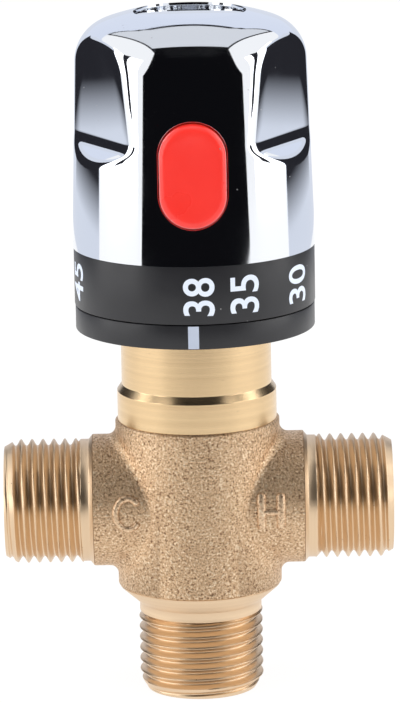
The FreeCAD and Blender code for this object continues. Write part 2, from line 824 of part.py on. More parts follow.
def build_element():
    """The wax element, its bulb in the mixed water, and the spool it carries between the seats."""
    turned_piece("wax_element", [
        ("0", "element_foot"),
        ("element_tail_radius", "element_foot"),
        ("element_tail_radius", "element_shoulder"),
        ("element_radius", "element_shoulder"),
        ("element_radius", "element_top - element_bevel"),
        ("piston_radius + element_guide_wall", "element_top"),
        ("piston_radius", "element_top"),
        ("piston_radius", "piston_well"),
        ("0", "piston_well"),
    ])
    body = new_body("mixing_spool")
    rim_low, rim_high = "hot_seat + seat_gap", "cold_seat - seat_gap"
    rim = outline(new_sketch(body, "spool_rim_outline", "XZ_Plane"), box_corners(
        "spool_bore - slip - spool_wall", "spool_bore - slip", rim_low, rim_high))
    turn(body, "spool_rim", rim)
    hub_low = "element_shoulder"
    spoke = new_sketch(body, "spoke_outline", "XY_Plane", out=hub_low)
    outline(spoke, box_corners("element_radius + 2 * slip", "spool_bore - slip - spool_wall / 2",
                               "-spoke_width / 2", "spoke_width / 2"))
    arm = pad(body, "spoke", spoke, "spool_hub_height")
    around(body, "spokes", [arm], "spoke_count")
    hub = outline(new_sketch(body, "spool_hub_outline", "XZ_Plane"), [
        ("element_tail_radius + slip", f"{hub_low} - spool_hub_lip"),
        ("element_flange_radius", f"{hub_low} - spool_hub_lip"),
        ("element_flange_radius", f"{hub_low} + spool_hub_height"),
        ("element_radius + slip", f"{hub_low} + spool_hub_height"),
        ("element_radius + slip", hub_low),
        ("element_tail_radius + slip", hub_low),
    ])
    turn(body, "spool_hub", hub)
    coil_spring("return_spring", "spring_pocket - return_wire - 2 * slip", "return_wire",
                "return_coils", "sleeve_foot", "element_shoulder", Placement())
    return body


# ---- check valves -------------------------------------------------------------------------------

def build_check_valve(label, side):
    """A spring check valve in an inlet: cage, poppet, spring and the snap ring that holds it."""
    start = "inlet_bore_end + cage_plenum"
    mouth = f"{start} + cage_length"
    cage = turned_piece(f"{label}_check_cage", [
        (start, "port_bore_radius - slip - cage_wall"),
        (f"{mouth} - cage_seat_length", "port_bore_radius - slip - cage_wall"),
        (f"{mouth} - cage_seat_length", "cage_seat_radius"),
        (mouth, "cage_seat_radius + cage_seat_length / 2"),
        (mouth, "port_bore_radius - slip"),
        (start, "port_bore_radius - slip"),
    ], "XY_Plane", "H_Axis")
    hub = outline(new_sketch(cage, f"{label}_spider_hub_outline", "XY_Plane"), box_corners(
        start, f"{start} + spider_thickness", "poppet_stem + slip", "spider_hub_radius"))
    turn(cage, f"{label}_spider_hub", hub, "H_Axis")
    arm_sketch = new_sketch(cage, f"{label}_spider_arm_outline", "YZ_Plane", out=start)
    outline(arm_sketch, box_corners("spider_hub_radius - slip", "port_bore_radius - cage_wall",
                                    "-spoke_width / 4", "spoke_width / 4"))
    arm = pad(cage, f"{label}_spider_arm", arm_sketch, "spider_thickness")
    around(cage, f"{label}_spider", [arm], "window_count", "X_Axis")

    seat = f"{mouth} - cage_seat_length - slip"
    poppet = turned_piece(f"{label}_check_poppet", [
        (start, "0"),
        (f"{seat}", "0"),
        (f"{seat}", "poppet_radius"),
        (f"{seat} - poppet_head", "poppet_radius"),
        (f"{seat} - poppet_head", "poppet_stem"),
        (start, "poppet_stem"),
    ], "XY_Plane", "H_Axis")
    ring = new_body(f"{label}_snap_ring")
    section = outline(new_sketch(ring, f"{label}_snap_outline", "XY_Plane"), box_corners(
        mouth, f"{mouth} + snap_ring_width",
        "port_bore_radius + clip_groove_depth - slip - snap_ring_section",
        "port_bore_radius + clip_groove_depth - slip"))
    turn(ring, f"{label}_snap_turn", section, "H_Axis")
    gap = new_sketch(ring, f"{label}_snap_gap_outline", "YZ_Plane", out=mouth)
    outline(gap, box_corners("0", "2 * port_bore_radius", "-snap_ring_section", "snap_ring_section"))
    pocket(ring, f"{label}_snap_gap", gap, "snap_ring_width", reverse=True)
    for piece in (cage, poppet, ring):
        place_at_port(piece, side)
    spring_place = Placement(Vector(0, 0, value("port_height")), Rotation(Vector(0, 1, 0), 90 * side))
    coil_spring(f"{label}_check_spring", "spider_hub_radius + check_wire + 4 * slip", "check_wire",
                "check_coils", f"{start} + spider_thickness", f"{seat} - poppet_head", spring_place)


# ---- stop ring, dial ring -----------------------------------------------------------------------

def build_stop_ring():
    """The fixed ring under the dial, with the raised sector that ends the knob's turn."""
    body = turned_piece("stop_ring", [
        ("neck_upper_radius + slip", "stop_ring_base"),
        ("stop_ring_radius", "stop_ring_base"),
        ("stop_ring_radius", "stop_ring_top"),
        ("stop_ring_radius - stop_ring_wall", "stop_ring_top"),
        ("stop_ring_radius - stop_ring_wall", "stop_ring_base + stop_ring_plate"),
        ("stop_hub_radius", "stop_ring_base + stop_ring_plate"),
        ("stop_hub_radius", "stop_hub_top"),
        ("neck_top_radius + slip", "stop_hub_top"),
        ("neck_top_radius + slip", "neck_seat"),
        ("neck_upper_radius + slip", "neck_seat"),
    ])
    sector = outline(new_sketch(body, "stop_sector_outline", "YZ_Plane"), box_corners(
        "stop_hub_radius - slip", "stop_sector_outer",
        "stop_ring_base + stop_ring_plate - slip", "stop_sector_top"))
    turn(body, "stop_sector", sector, angle=STOP_SECTOR_ANGLE)
    bind(body, "Placement.Rotation.Angle", "180 + (hotter_travel - colder_travel) / 2")
    clip = new_body("neck_clip")
    section = outline(new_sketch(clip, "neck_clip_outline", "XZ_Plane"), box_corners(
        "neck_top_radius - clip_groove_depth + slip", "snap_clip_radius",
        "stop_hub_top", "stop_hub_top + snap_clip_width"))
    turn(clip, "neck_clip_turn", section)
    gap = new_sketch(clip, "neck_clip_gap_outline", "XY_Plane", out="stop_hub_top")
    outline(gap, box_corners("-snap_clip_width", "snap_clip_width", "0", "2 * snap_clip_radius"))
    pocket(clip, "neck_clip_gap", gap, "snap_clip_width", reverse=True)
    return body


STOP_SECTOR_ANGLE = "360 - colder_travel - hotter_travel - 2 * stop_rib_half_angle - 2 * stop_touch_angle"


def build_dial_ring():
    """The black ring that carries the numbers, with a rib inside that meets the stop sector."""
    body = turned_piece("dial_ring", [
        ("dial_radius - dial_wall", "stop_ring_top + turn_gap"),
        ("dial_radius", "stop_ring_top + turn_gap"),
        ("dial_radius", "dial_top"),
        ("dial_spigot_radius", "dial_top"),
        ("dial_spigot_radius", "dial_top + dial_spigot_height"),
        ("dial_spigot_radius - dial_spigot_wall", "dial_top + dial_spigot_height"),
        ("dial_spigot_radius - dial_spigot_wall", "dial_top - dial_flange"),
        ("dial_radius - dial_wall", "dial_top - dial_flange"),
    ])
    rib = outline(new_sketch(body, "stop_rib_outline", "YZ_Plane"), box_corners(
        "stop_hub_radius + 4 * turn_gap", "dial_radius - dial_wall + slip",
        "stop_hub_top + turn_gap", "dial_top - dial_flange + slip"))
    turn(body, "stop_rib", rib, angle="2 * stop_rib_half_angle")
    return body


# ---- knob ---------------------------------------------------------------------------------------

def build_handle_shell():
    """The chrome knob: a tapered drum with a domed crown, three arched finger grips and a window."""
    body = turned_piece("handle_shell", [
        ("shell_bore", "dial_top + dial_spigot_height + slip"),
        ("dial_spigot_radius + slip", "dial_top + dial_spigot_height + slip"),
        ("dial_spigot_radius + slip", "dial_top"),
        ("shell_foot_radius", "dial_top"),
        ("shell_shoulder_radius", "shell_shoulder"),
        ("cap_recess_radius", "cap_rim", "crown_blend"),
        ("cap_recess_radius", "cap_ledge"),
        ("roof_hole", "cap_ledge"),
        ("roof_hole", "shell_roof"),
        ("shell_roof_radius", "shell_roof"),
        ("shell_bore", "shell_bore_top"),
    ])
    height = value("shell_shoulder")
    corner = edges_where(body.Tip.Shape, lambda edge: abs(edge.BoundBox.ZMin - height) < 1e-4
                         and edge.BoundBox.ZLength < 1e-4)
    dress(body, "PartDesign::Fillet", "shoulder", body.Tip, corner, "Radius", "shoulder_blend")
    grip = outline(new_sketch(body, "grip_outline", "YZ_Plane"), [
        ("grip_plane", "grip_ledge"),
        ("grip_plane + grip_reach", "grip_ledge - grip_reach"),
        ("grip_plane + grip_reach", "grip_arch + grip_arch_radius"),
        ("grip_plane + grip_arch_radius", "grip_arch + grip_arch_radius"),
        ("grip_plane", "grip_arch", "grip_arch_radius"),
    ])
    cut = pocket(body, "grip", grip, "2 * shell_foot_radius", midplane=True)
    around(body, "grips", [cut], "grip_count")
    window = new_sketch(body, "window_outline", "XZ_Plane", up="button_height")
    slot(window, "button_width + 2 * button_gap", "button_tall + 2 * button_gap")
    pocket(body, "window", window, "shell_foot_radius", reverse=True)
    return body


def build_button():
    """The red safety button: a stadium with rounded rim, a flange behind the window and a catch."""
    body = new_body("safety_button")
    face = new_sketch(body, "button_outline", "XZ_Plane", up="button_height", out="button_flange_face")
    slot(face, "button_width", "button_tall")
    cap = pad(body, "button_cap", face, "button_face - button_flange_face")
    front = value("-button_face")
    rim = edges_where(cap.Shape, lambda edge: abs(edge.BoundBox.YMin - front) < 1e-4
                      and edge.BoundBox.YLength < 1e-4)
    dress(body, "PartDesign::Fillet", "button_rim", cap, rim, "Radius", "button_round")
    flange = new_sketch(body, "flange_outline", "XZ_Plane", up="button_height",
                        out="button_flange_face - button_flange")
    slot(flange, "button_width + 2 * button_flange_lip", "button_tall + 2 * button_flange_lip")
    pad(body, "button_flange", flange, "button_flange")
    catch = new_sketch(body, "catch_outline", "XZ_Plane", up="button_height - button_tall / 2",
                       out="button_flange_face - button_flange")
    outline(catch, box_corners("-catch_width / 2", "catch_width / 2", "-catch_drop", "button_flange_lip"))
    pad(body, "button_catch", catch, "button_flange")
    depth = Placement(Vector(0, value("-insert_pad_face"), value("button_height")),
                      Rotation(Vector(1, 0, 0), 90))
    coil_spring("button_spring", "button_coil_radius", "button_wire", "button_coils", "0",
                "button_flange_face - button_flange - insert_pad_face", depth)
    return body


def build_insert():
    """The splined hub pressed into the knob, with a seat for the button's spring."""
    body = turned_piece("spline_insert", [
        ("spline_radius + slip", "spline_start"),
        ("insert_radius", "spline_start"),
        ("insert_radius", "shell_roof"),
        ("insert_collar", "shell_roof"),
        ("insert_collar", "insert_collar_top"),
        ("screw_head_radius + turn_gap", "insert_collar_top"),
        ("screw_head_radius + turn_gap", "screw_seat"),
        ("screw_radius + turn_gap", "screw_seat"),
        ("screw_radius + turn_gap", "spindle_top + turn_gap"),
        ("spline_radius + slip", "spindle_top + turn_gap"),
    ])
    tooth = new_sketch(body, "tooth_outline", "XY_Plane", out="spline_start")
    outline(tooth, [
        ("spline_radius - spline_depth + 2 * slip", "0"),
        ("spline_radius + 2 * slip", "-spline_half_width"),
        ("spline_radius + 2 * slip", "spline_half_width"),
    ])
    ridge = pad(body, "tooth", tooth, "spindle_top - spline_start")
    around(body, "teeth", [ridge], "spline_count")
    seat = new_sketch(body, "spring_seat_outline", "XZ_Plane", up="button_height",
                      out="insert_radius - 4 * slip - button_wire")
    circle(seat, "button_coil_radius + 2 * button_wire")
    pad(body, "spring_seat", seat, "insert_pad_face - insert_radius + 4 * slip + button_wire")
    return body


def build_screw_and_cap():
    screw = turned_piece("handle_screw", [
        ("0", "screw_tip + slip"),
        ("screw_radius", "screw_tip + slip"),
        ("screw_radius", "screw_seat"),
        ("screw_head_radius", "screw_seat"),
        ("screw_head_radius", "screw_seat + screw_head_height"),
        ("0", "screw_seat + screw_head_height"),
    ])
    socket = hexagon(new_sketch(screw, "socket_outline", "XY_Plane",
                                out="screw_seat + screw_head_height - screw_socket_depth"),
                     "screw_socket_width")
    pocket(screw, "socket", socket, "screw_socket_depth", reverse=True)
    turned_piece("top_cap", [
        ("0", "insert_collar_top - cap_plug_drop"),
        ("screw_head_radius", "insert_collar_top - cap_plug_drop"),
        ("screw_head_radius", "insert_collar_top + slip"),
        ("cap_plug_radius", "insert_collar_top + slip"),
        ("cap_plug_radius", "cap_ledge"),
        ("cap_recess_radius - slip", "cap_ledge"),
        ("cap_recess_radius - slip", "cap_ledge + cap_thickness"),
        ("0", "cap_ledge + cap_thickness"),
    ])


def check_and_write():
    """Stop at anything that failed, then write one STEP file for each piece."""
    document.recompute()
    for item in document.Objects:
        if {"Invalid", "Error"} & set(item.State):
            raise RuntimeError(f"{item.Label} failed: {item.State}")
    os.makedirs("parts", exist_ok=True)
    for piece in pieces:
        shape = piece.Shape
        if shape.isNull() or not shape.isValid() or len(shape.Solids) != 1:
            raise RuntimeError(f"{piece.Label} is not one valid solid")
        shape.exportStep(f"parts/{piece.Label}.step")
        print(f"{piece.Label:20s} {shape.Volume:10.1f} mm3")


build_valve_body()
build_sleeve()
build_bonnet()
build_spindle()
build_regulator()
build_element()
build_check_valve("hot", 1)
build_check_valve("cold", -1)
build_stop_ring()
build_dial_ring()
build_handle_shell()
build_button()
build_insert()
build_screw_and_cap()
check_and_write()
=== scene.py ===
# %% [markdown]
# # A mixing valve with a chrome temperature knob
#
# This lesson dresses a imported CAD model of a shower's mixing valve. The real thing is a blasted
# brass casting with turned, threaded ends, a black dial and a chrome knob. The CAD pieces give
# every place and size. Blender adds the threads, the soft cast seams, the printed numbers and
# the finish of each surface.

# %% Imports and the frame
import json
import math

import bmesh
import bpy
from mathutils import Matrix, Vector


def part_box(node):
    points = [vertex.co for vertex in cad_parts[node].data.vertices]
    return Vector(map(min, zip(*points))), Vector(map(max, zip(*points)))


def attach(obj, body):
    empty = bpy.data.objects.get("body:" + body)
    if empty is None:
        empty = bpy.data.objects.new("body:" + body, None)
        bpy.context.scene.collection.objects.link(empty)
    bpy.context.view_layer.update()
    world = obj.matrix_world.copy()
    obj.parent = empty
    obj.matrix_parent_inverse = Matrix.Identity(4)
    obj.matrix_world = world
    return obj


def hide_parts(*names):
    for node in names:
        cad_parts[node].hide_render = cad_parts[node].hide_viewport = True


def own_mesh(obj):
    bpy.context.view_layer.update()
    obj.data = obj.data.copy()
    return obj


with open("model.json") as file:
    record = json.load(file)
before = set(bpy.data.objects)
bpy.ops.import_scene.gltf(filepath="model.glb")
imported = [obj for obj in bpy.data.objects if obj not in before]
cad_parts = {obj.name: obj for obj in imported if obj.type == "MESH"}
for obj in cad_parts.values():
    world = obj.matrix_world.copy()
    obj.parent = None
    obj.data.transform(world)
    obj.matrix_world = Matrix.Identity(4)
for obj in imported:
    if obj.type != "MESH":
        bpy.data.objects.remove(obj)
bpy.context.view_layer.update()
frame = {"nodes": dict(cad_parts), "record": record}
nodes = frame["nodes"]

# %% [markdown]
# The shop drawings of a valve are in millimetres and Blender's unit here is the metre. Lengths
# are written in millimetres and multiplied once, when a mesh is finished. Sizes that the CAD
# model owns are read from its nodes, so a changed part carries its dressing with it.

# %% Sizes
MM = 0.001


def span(node, axis):
    """Lowest and highest place of a CAD node along an axis, in millimetres."""
    low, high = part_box(node)
    return low[axis] / MM, high[axis] / MM


PORT_REACH = span("valve_body", 0)[1]
PORT_HEIGHT = 32.15
COLLAR = 10.94
COLLAR_REACH = 17.4
CAST_FOOT, CAST_TOP = 18.2, 46.0
KNOB_FOOT, KNOB_RIM = span("handle_shell", 2)
BUTTON_MIDDLE = 90.05
print(f"inlets reach {PORT_REACH:.1f} mm, knob from {KNOB_FOOT:.2f} to {KNOB_RIM:.1f} mm")

# %% [markdown]
# ## Camera
#
# A long lens flattens the perspective the way a catalogue picture does. The camera stands 0.8 m
# away and a little above, and it is rolled by about a degree.

# %% Camera
CAMERA_PLACE = Vector((0.0, -0.8, 0.23574))
CAMERA_AIM = Vector((0.000653, 0.0, 0.057027))
CAMERA_ROLL = -0.01877
CAMERA_LENS = 254.16
SENSOR_WIDTH = 36.0


def put_in_scene(name, data):
    """A new object with the given data, linked into the scene."""
    holder = bpy.data.objects.new(name, data)
    bpy.context.scene.collection.objects.link(holder)
    return holder


def facing(place, aim):
    """The matrix of a camera or lamp that stands at a place and looks at an aim."""
    look = (aim - place).to_track_quat("-Z", "Y").to_matrix().to_4x4()
    return Matrix.Translation(place) @ look


camera_data = bpy.data.cameras.new("camera")
camera_data.lens = CAMERA_LENS
camera_data.sensor_width = SENSOR_WIDTH
camera = put_in_scene("camera", camera_data)
camera.matrix_world = facing(CAMERA_PLACE, CAMERA_AIM) @ Matrix.Rotation(CAMERA_ROLL, 4, "Z")
bpy.context.scene.camera = camera
bpy.context.scene.view_settings.view_transform = "Standard"
print("camera at", tuple(round(value, 3) for value in CAMERA_PLACE))

# %% [markdown]
# ## Studio
#
# Polished metal shows its surroundings more than its own colour, so the studio is part of the
# finish. Three soft boxes light the valve from the left, the right and above. What the knob
# mirrors is set apart from them, on bent cards that only reflections see. A black card in front
# draws the wide band down the knob, pale cards light its crown and flanks, and narrow dark cards
# draw the lines between them.

# %% Node helpers


def new_material(name):
    """A material with an empty node tree; returns both."""
    material = bpy.data.materials.new(name)
    material.use_nodes = True
    material.node_tree.nodes.clear()
    return material, material.node_tree


def add_node(tree, kind, **settings):
    """Add a node and set its properties."""
    node = tree.nodes.new(kind)
    for key, setting in settings.items():
        setattr(node, key, setting)
    return node


def set_inputs(node, **sockets):
    """Set unlinked input sockets by name, with underscores for spaces."""
    for key, setting in sockets.items():
        node.inputs[key.replace("_", " ")].default_value = setting


def link_up(tree, start, socket, end, target):
    """Wire an output of one node to an input of another."""
    tree.links.new(start.outputs[socket], end.inputs[target])


def maths(tree, operation, first, second, third=None):
    """A maths node on sockets or plain numbers; returns its output socket."""
    node = add_node(tree, "ShaderNodeMath", operation=operation)
    for place, value in enumerate((first, second, third)):
        if isinstance(value, (int, float)):
            node.inputs[place].default_value = value
        elif value is not None:
            tree.links.new(value, node.inputs[place])
    return node.outputs[0]


def blend_colours(tree, share, first, second):
    """Mix of two colours, each a plain colour or a socket, by a share socket."""
    mix = add_node(tree, "ShaderNodeMix", data_type="RGBA")
    tree.links.new(share, mix.inputs[0])
    for place, value in ((6, first), (7, second)):
        if isinstance(value, tuple):
            mix.inputs[place].default_value = value
        else:
            tree.links.new(value, mix.inputs[place])
    return mix.outputs[2]


def ranged(tree, value, low, high, start=0.0, stop=1.0):
    """A socket's value stretched to low..high, read between start and stop."""
    node = add_node(tree, "ShaderNodeMapRange")
    set_inputs(node, From_Min=start, From_Max=stop, To_Min=low, To_Max=high)
    tree.links.new(value, node.inputs["Value"])
    return node.outputs["Result"]


def show(tree, shader, kind="ShaderNodeOutputMaterial"):
    """Wire a shader's socket to the tree's output."""
    tree.links.new(shader, add_node(tree, kind).inputs["Surface"])


# %% World and floor
WHITE = (1.0, 1.0, 1.0, 1.0)
PAPER = (0.9, 0.9, 0.9, 1.0)
SKY_STRENGTH = 0.75
PAPER_GLOW = 1.06
GLOW_SHARE = 0.85
FLOOR_HALF = 3.0


def background_share(tree):
    """1 for rays that should see the plain white background: from the camera, metal and glass."""
    rays = add_node(tree, "ShaderNodeLightPath").outputs
    seen = maths(tree, "MAXIMUM", rays["Is Camera Ray"], rays["Is Glossy Ray"])
    return maths(tree, "MAXIMUM", seen, rays["Is Transmission Ray"])


def white_sky():
    """A world that lights the valve softly from all round and looks plain white."""
    world = bpy.data.worlds.new("studio")
    world.use_nodes = True
    tree = world.node_tree
    tree.nodes.clear()
    sky = add_node(tree, "ShaderNodeBackground")
    set_inputs(sky, Color=WHITE)
    tree.links.new(ranged(tree, background_share(tree), SKY_STRENGTH, 1.0),
                   sky.inputs["Strength"])
    show(tree, sky.outputs["Background"], "ShaderNodeOutputWorld")
    return world


def white_paper():
    """White paper: plain white to the camera and to metal, with a trace of the contact shadow."""
    material, tree = new_material("white_paper")
    paper = add_node(tree, "ShaderNodeBsdfPrincipled")
    set_inputs(paper, Base_Color=PAPER, Roughness=0.9)
    glow = add_node(tree, "ShaderNodeEmission")
    set_inputs(glow, Color=WHITE, Strength=PAPER_GLOW)
    mix = add_node(tree, "ShaderNodeMixShader")
    tree.links.new(maths(tree, "MULTIPLY", background_share(tree), GLOW_SHARE), mix.inputs["Fac"])
    link_up(tree, paper, "BSDF", mix, 1)
    link_up(tree, glow, "Emission", mix, 2)
    show(tree, mix.outputs["Shader"])
    return material


def mesh_data(name, mesh):
    """Mesh data written from a bmesh, which is freed."""
    data = bpy.data.meshes.new(name)
    mesh.to_mesh(data)
    mesh.free()
    return data


bpy.context.scene.world = white_sky()
floor_mesh = bmesh.new()
bmesh.ops.create_grid(floor_mesh, x_segments=1, y_segments=1, size=FLOOR_HALF)
floor = put_in_scene("floor", mesh_data("floor", floor_mesh))
floor.data.materials.append(white_paper())
print("floor", 2 * FLOOR_HALF, "m across, sky strength", SKY_STRENGTH)

# %% Soft boxes
LAMP_AIM = Vector((0, 0, 0.06))


def at_bearing(turn, radius, height):
    """The point at a turn in radians round the upright axis; turn 0 faces the front."""
    return Vector((math.sin(turn) * radius, -math.cos(turn) * radius, height))


def soft_box(name, azimuth, height, distance, width, tall, power):
    """An area lamp on a circle round the valve, aimed at its middle; azimuth 0 is the front."""
    lamp = bpy.data.lights.new(name, "AREA")
    lamp.shape = "RECTANGLE"
    lamp.size = width
    lamp.size_y = tall
    lamp.energy = power
    place = at_bearing(math.radians(azimuth), distance, height)
    put_in_scene(name, lamp).matrix_world = facing(place, LAMP_AIM)
    print(f"{name}: {power} W")


soft_box("left_box", -78, 0.12, 0.6, 0.55, 0.7, 1.9)
soft_box("right_box", 86, 0.12, 0.6, 0.55, 0.7, 1.9)
soft_box("top_box", 0, 0.8, 0.25, 0.6, 0.6, 2.0)

# %% [markdown]
# Each card is an edge spun into a bent strip with one plain shade. The metal mirrors it, but it
# is hidden from the camera, lights no matt surface and casts no shadow.

# %% Reflection cards
KNOB_MIDDLE = Vector((0, 0, 0.1))
CARD_STEPS = 32
FOOT_FADE = 0.012
BLACK = (0.004, 0.004, 0.005, 1.0)
DARK = (0.02, 0.02, 0.025, 1.0)
PALE = (0.72, 0.74, 0.78, 1.0)
COOL = (0.72, 0.76, 0.85, 1.0)
BLUE_WHITE = (0.74, 0.79, 0.91, 1.0)


def bent_strip(upright, start, end, low, high, radius, taper):
    """A straight edge spun into a strip about the upright axis, or over the knob if it lies."""
    mesh = bmesh.new()
    reach = Vector((0, 0, 1)) if upright else Vector((1, 0, 0))
    sense = 1 if upright else -1
    front = Vector((0, -radius, 0))
    edge = mesh.edges.new([mesh.verts.new(front + reach * place) for place in (low, high)])
    bmesh.ops.rotate(mesh, cent=(0, 0, 0), verts=mesh.verts,
                     matrix=Matrix.Rotation(sense * math.radians(start), 3, reach))
    bmesh.ops.spin(mesh, geom=[*mesh.verts, edge], cent=(0, 0, 0), axis=reach,
                   angle=sense * math.radians(end - start), steps=CARD_STEPS)
    if not upright:
        for vert in mesh.verts:
            turn = math.degrees(math.atan2(vert.co.z, -vert.co.y))
            vert.co.x *= 1 + (taper - 1) * (turn - start) / (end - start)
        bmesh.ops.translate(mesh, vec=KNOB_MIDDLE, verts=mesh.verts)
    return mesh


def card_glow(name, shade, foot_shade, foot):
    """An even glow, which may fade in from a foot shade just above the card's low edge."""
    material, tree = new_material(name)
    glow = add_node(tree, "ShaderNodeEmission")
    set_inputs(glow, Color=shade, Strength=1.0)
    if foot_shade:
        parts = add_node(tree, "ShaderNodeSeparateXYZ")
        link_up(tree, add_node(tree, "ShaderNodeTexCoord"), "Object", parts, 0)
        fade = ranged(tree, parts.outputs["Z"], 0.0, 1.0, foot, foot + FOOT_FADE)
        tree.links.new(blend_colours(tree, fade, foot_shade, shade), glow.inputs["Color"])
    show(tree, glow.outputs["Emission"])
    return material


def reflection_card(name, upright, start, end, low, high, radius, shade, taper=1.0,
                    foot_shade=None):
    """A bent card that only reflections see.

    An upright card goes round the valve from azimuth start to end, between heights low and high.
    A lying card goes over the knob, from start to end degrees up from the front, between low and
    high from left to right, and taper narrows its far end. A foot shade shows at its low edge.
    """
    strip = bent_strip(upright, start, end, low, high, radius, taper)
    card = put_in_scene(name, mesh_data(name, strip))
    card.data.materials.append(card_glow(name, shade, foot_shade, low))
    card.visible_camera = False
    card.visible_diffuse = False
    card.visible_shadow = False
    print(f"{name}: {start} to {end} degrees")


reflection_card("front_card", False, -16.5, 74, -0.40, 0.455, 0.35, BLACK, taper=0.38)
reflection_card("over_card", False, 75, 137, -0.175, 0.175, 0.35, PALE)
reflection_card("over_frame", False, 60, 139, -0.2, 0.2, 0.37, DARK)
reflection_card("back_card", False, 139, 168, -0.6, 0.6, 0.38, BLUE_WHITE)
reflection_card("rear_card", True, 99.5, 260.5, 0.0, 0.30, 0.42, COOL)
for side, turn in (("left", -1), ("right", 1)):
    reflection_card(side + "_slot", True, turn * 99.5, turn * 150, 0.034, 0.20, 0.30, DARK,
                    foot_shade=COOL)
    reflection_card(side + "_edge", True, turn * 68, turn * 79, 0.068, 0.25, 0.22, DARK)

# %% [markdown]
# ## Turning and finishing helpers
#
# Nearly every part of a valve is turned on a lathe, and Blender's spin does the same: a short
# outline of corners goes round an axis. Bevelling the outline's corners first gives the small
# edge breaks that catch the light on real turned metal.

# %% Mesh helpers
ROUND = 144
MERGE = 0.0008


def cleaned(mesh):
    """Merge a bmesh's doubled points and turn its faces outwards."""
    bmesh.ops.remove_doubles(mesh, verts=mesh.verts, dist=MERGE)
    bmesh.ops.recalc_face_normals(mesh, faces=mesh.faces)
    return mesh


def finish(name, mesh, material, body, replaced=(), sharp=32.0, even=False):
    """Turn a bmesh in millimetres into a piece in metres that rides on a CAD body.

    Even lets the large faces set the shading, so that a turned wall stays straight to its bevels.
    """
    bmesh.ops.scale(cleaned(mesh), vec=(MM, MM, MM), verts=mesh.verts)
    piece = put_in_scene(name, mesh_data(name, mesh))
    piece.data.shade_smooth()
    piece.data.set_sharp_from_angle(angle=math.radians(sharp))
    piece.data.materials.append(material)
    if even:
        weighted = piece.modifiers.new("even_walls", "WEIGHTED_NORMAL")
        weighted.weight = 100
        weighted.keep_sharp = True
    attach(piece, body)
    if replaced:
        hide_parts(*replaced)
    print(f"{name}: {len(piece.data.polygons)} faces")
    return piece


def turned(corners, steps=ROUND, soften=0.0, closed=True):
    """Spin an outline of (height, radius) corners round the valve; soften rounds the corners."""
    mesh = bmesh.new()
    points = [mesh.verts.new((radius, 0, height)) for height, radius in corners]
    links = list(zip(points, points[1:]))
    if closed:
        links.append((points[-1], points[0]))
    for pair in links:
        mesh.edges.new(pair)
    if soften:
        inner = [point for point in points if len(point.link_edges) == 2]
        bmesh.ops.bevel(mesh, geom=inner, offset=soften, offset_type="OFFSET", affect="VERTICES",
                        segments=3, profile=0.5, material=-1)
    bmesh.ops.spin(mesh, geom=[*mesh.verts, *mesh.edges], cent=(0, 0, 0), axis=(0, 0, 1),
                   angle=2 * math.pi, steps=steps, use_merge=True)
    return mesh


def extruded(mesh, edges):
    """Extrude an open edge loop; returns the new points and the new open loop."""
    made = bmesh.ops.extrude_edge_only(mesh, edges=edges)["geom"]
    verts = [item for item in made if isinstance(item, bmesh.types.BMVert)]
    fresh = set(verts)
    loop = dict.fromkeys(edge for vert in verts for edge in vert.link_edges
                         if edge.is_boundary and all(end in fresh for end in edge.verts))
    return verts, list(loop)


def skinned(mesh, rings):
    """Skin a stack of closed rings of points; returns the rings' edge loops."""
    loops = [[mesh.edges.get((ring[step - 1], ring[step])) for step in range(len(ring))]
             for ring in rings]
    for first, second in zip(loops, loops[1:]):
        bmesh.ops.bridge_loops(mesh, edges=[*first, *second])
    return loops


def evaluated(holder):
    """A bmesh of an object as its modifiers or its text settings leave it."""
    graph = bpy.context.evaluated_depsgraph_get()
    mesh = bmesh.new()
    mesh.from_mesh(bpy.data.meshes.new_from_object(holder.evaluated_get(graph)))
    return mesh


# %% [markdown]
# ## Finishes
#
# Each finish is a small recipe of noise in millimetres on the piece's own coordinates, so that it
# stays on the surface when the knob turns. Three effects appear in several finishes and are
# therefore node groups: the grain of a blasted casting, the fine rings that a lathe tool leaves,
# and the odd speck of dust on a polished surface.

# %% Effect helpers


def effect_group(name, inputs, outputs):
    """An empty shader node group with float inputs and outputs; returns it with its end nodes."""
    group = bpy.data.node_groups.new(name, "ShaderNodeTree")
    for label, value in inputs.items():
        socket = group.interface.new_socket(label, in_out="INPUT", socket_type="NodeSocketFloat")
        socket.default_value = value
    for label in outputs:
        group.interface.new_socket(label, in_out="OUTPUT", socket_type="NodeSocketFloat")
    return group, group.nodes.new("NodeGroupInput"), group.nodes.new("NodeGroupOutput")


def in_millimetres(tree):
    """Object coordinates counted in millimetres."""
    scale = add_node(tree, "ShaderNodeVectorMath", operation="SCALE")
    link_up(tree, add_node(tree, "ShaderNodeTexCoord"), "Object", scale, 0)
    set_inputs(scale, Scale=1 / MM)
    return scale.outputs[0]


def pattern(group, kind, place, size, share=1.0, socket="Vector", **settings):
    """A texture node read at a place, its grains a share of a size in millimetres."""
    node = add_node(group, kind, **settings)
    group.links.new(place, node.inputs[socket])
    group.links.new(maths(group, "DIVIDE", 1.0 / share, size), node.inputs["Scale"])
    return node


# %% Shared effects
SPECK_RADIUS = 0.055


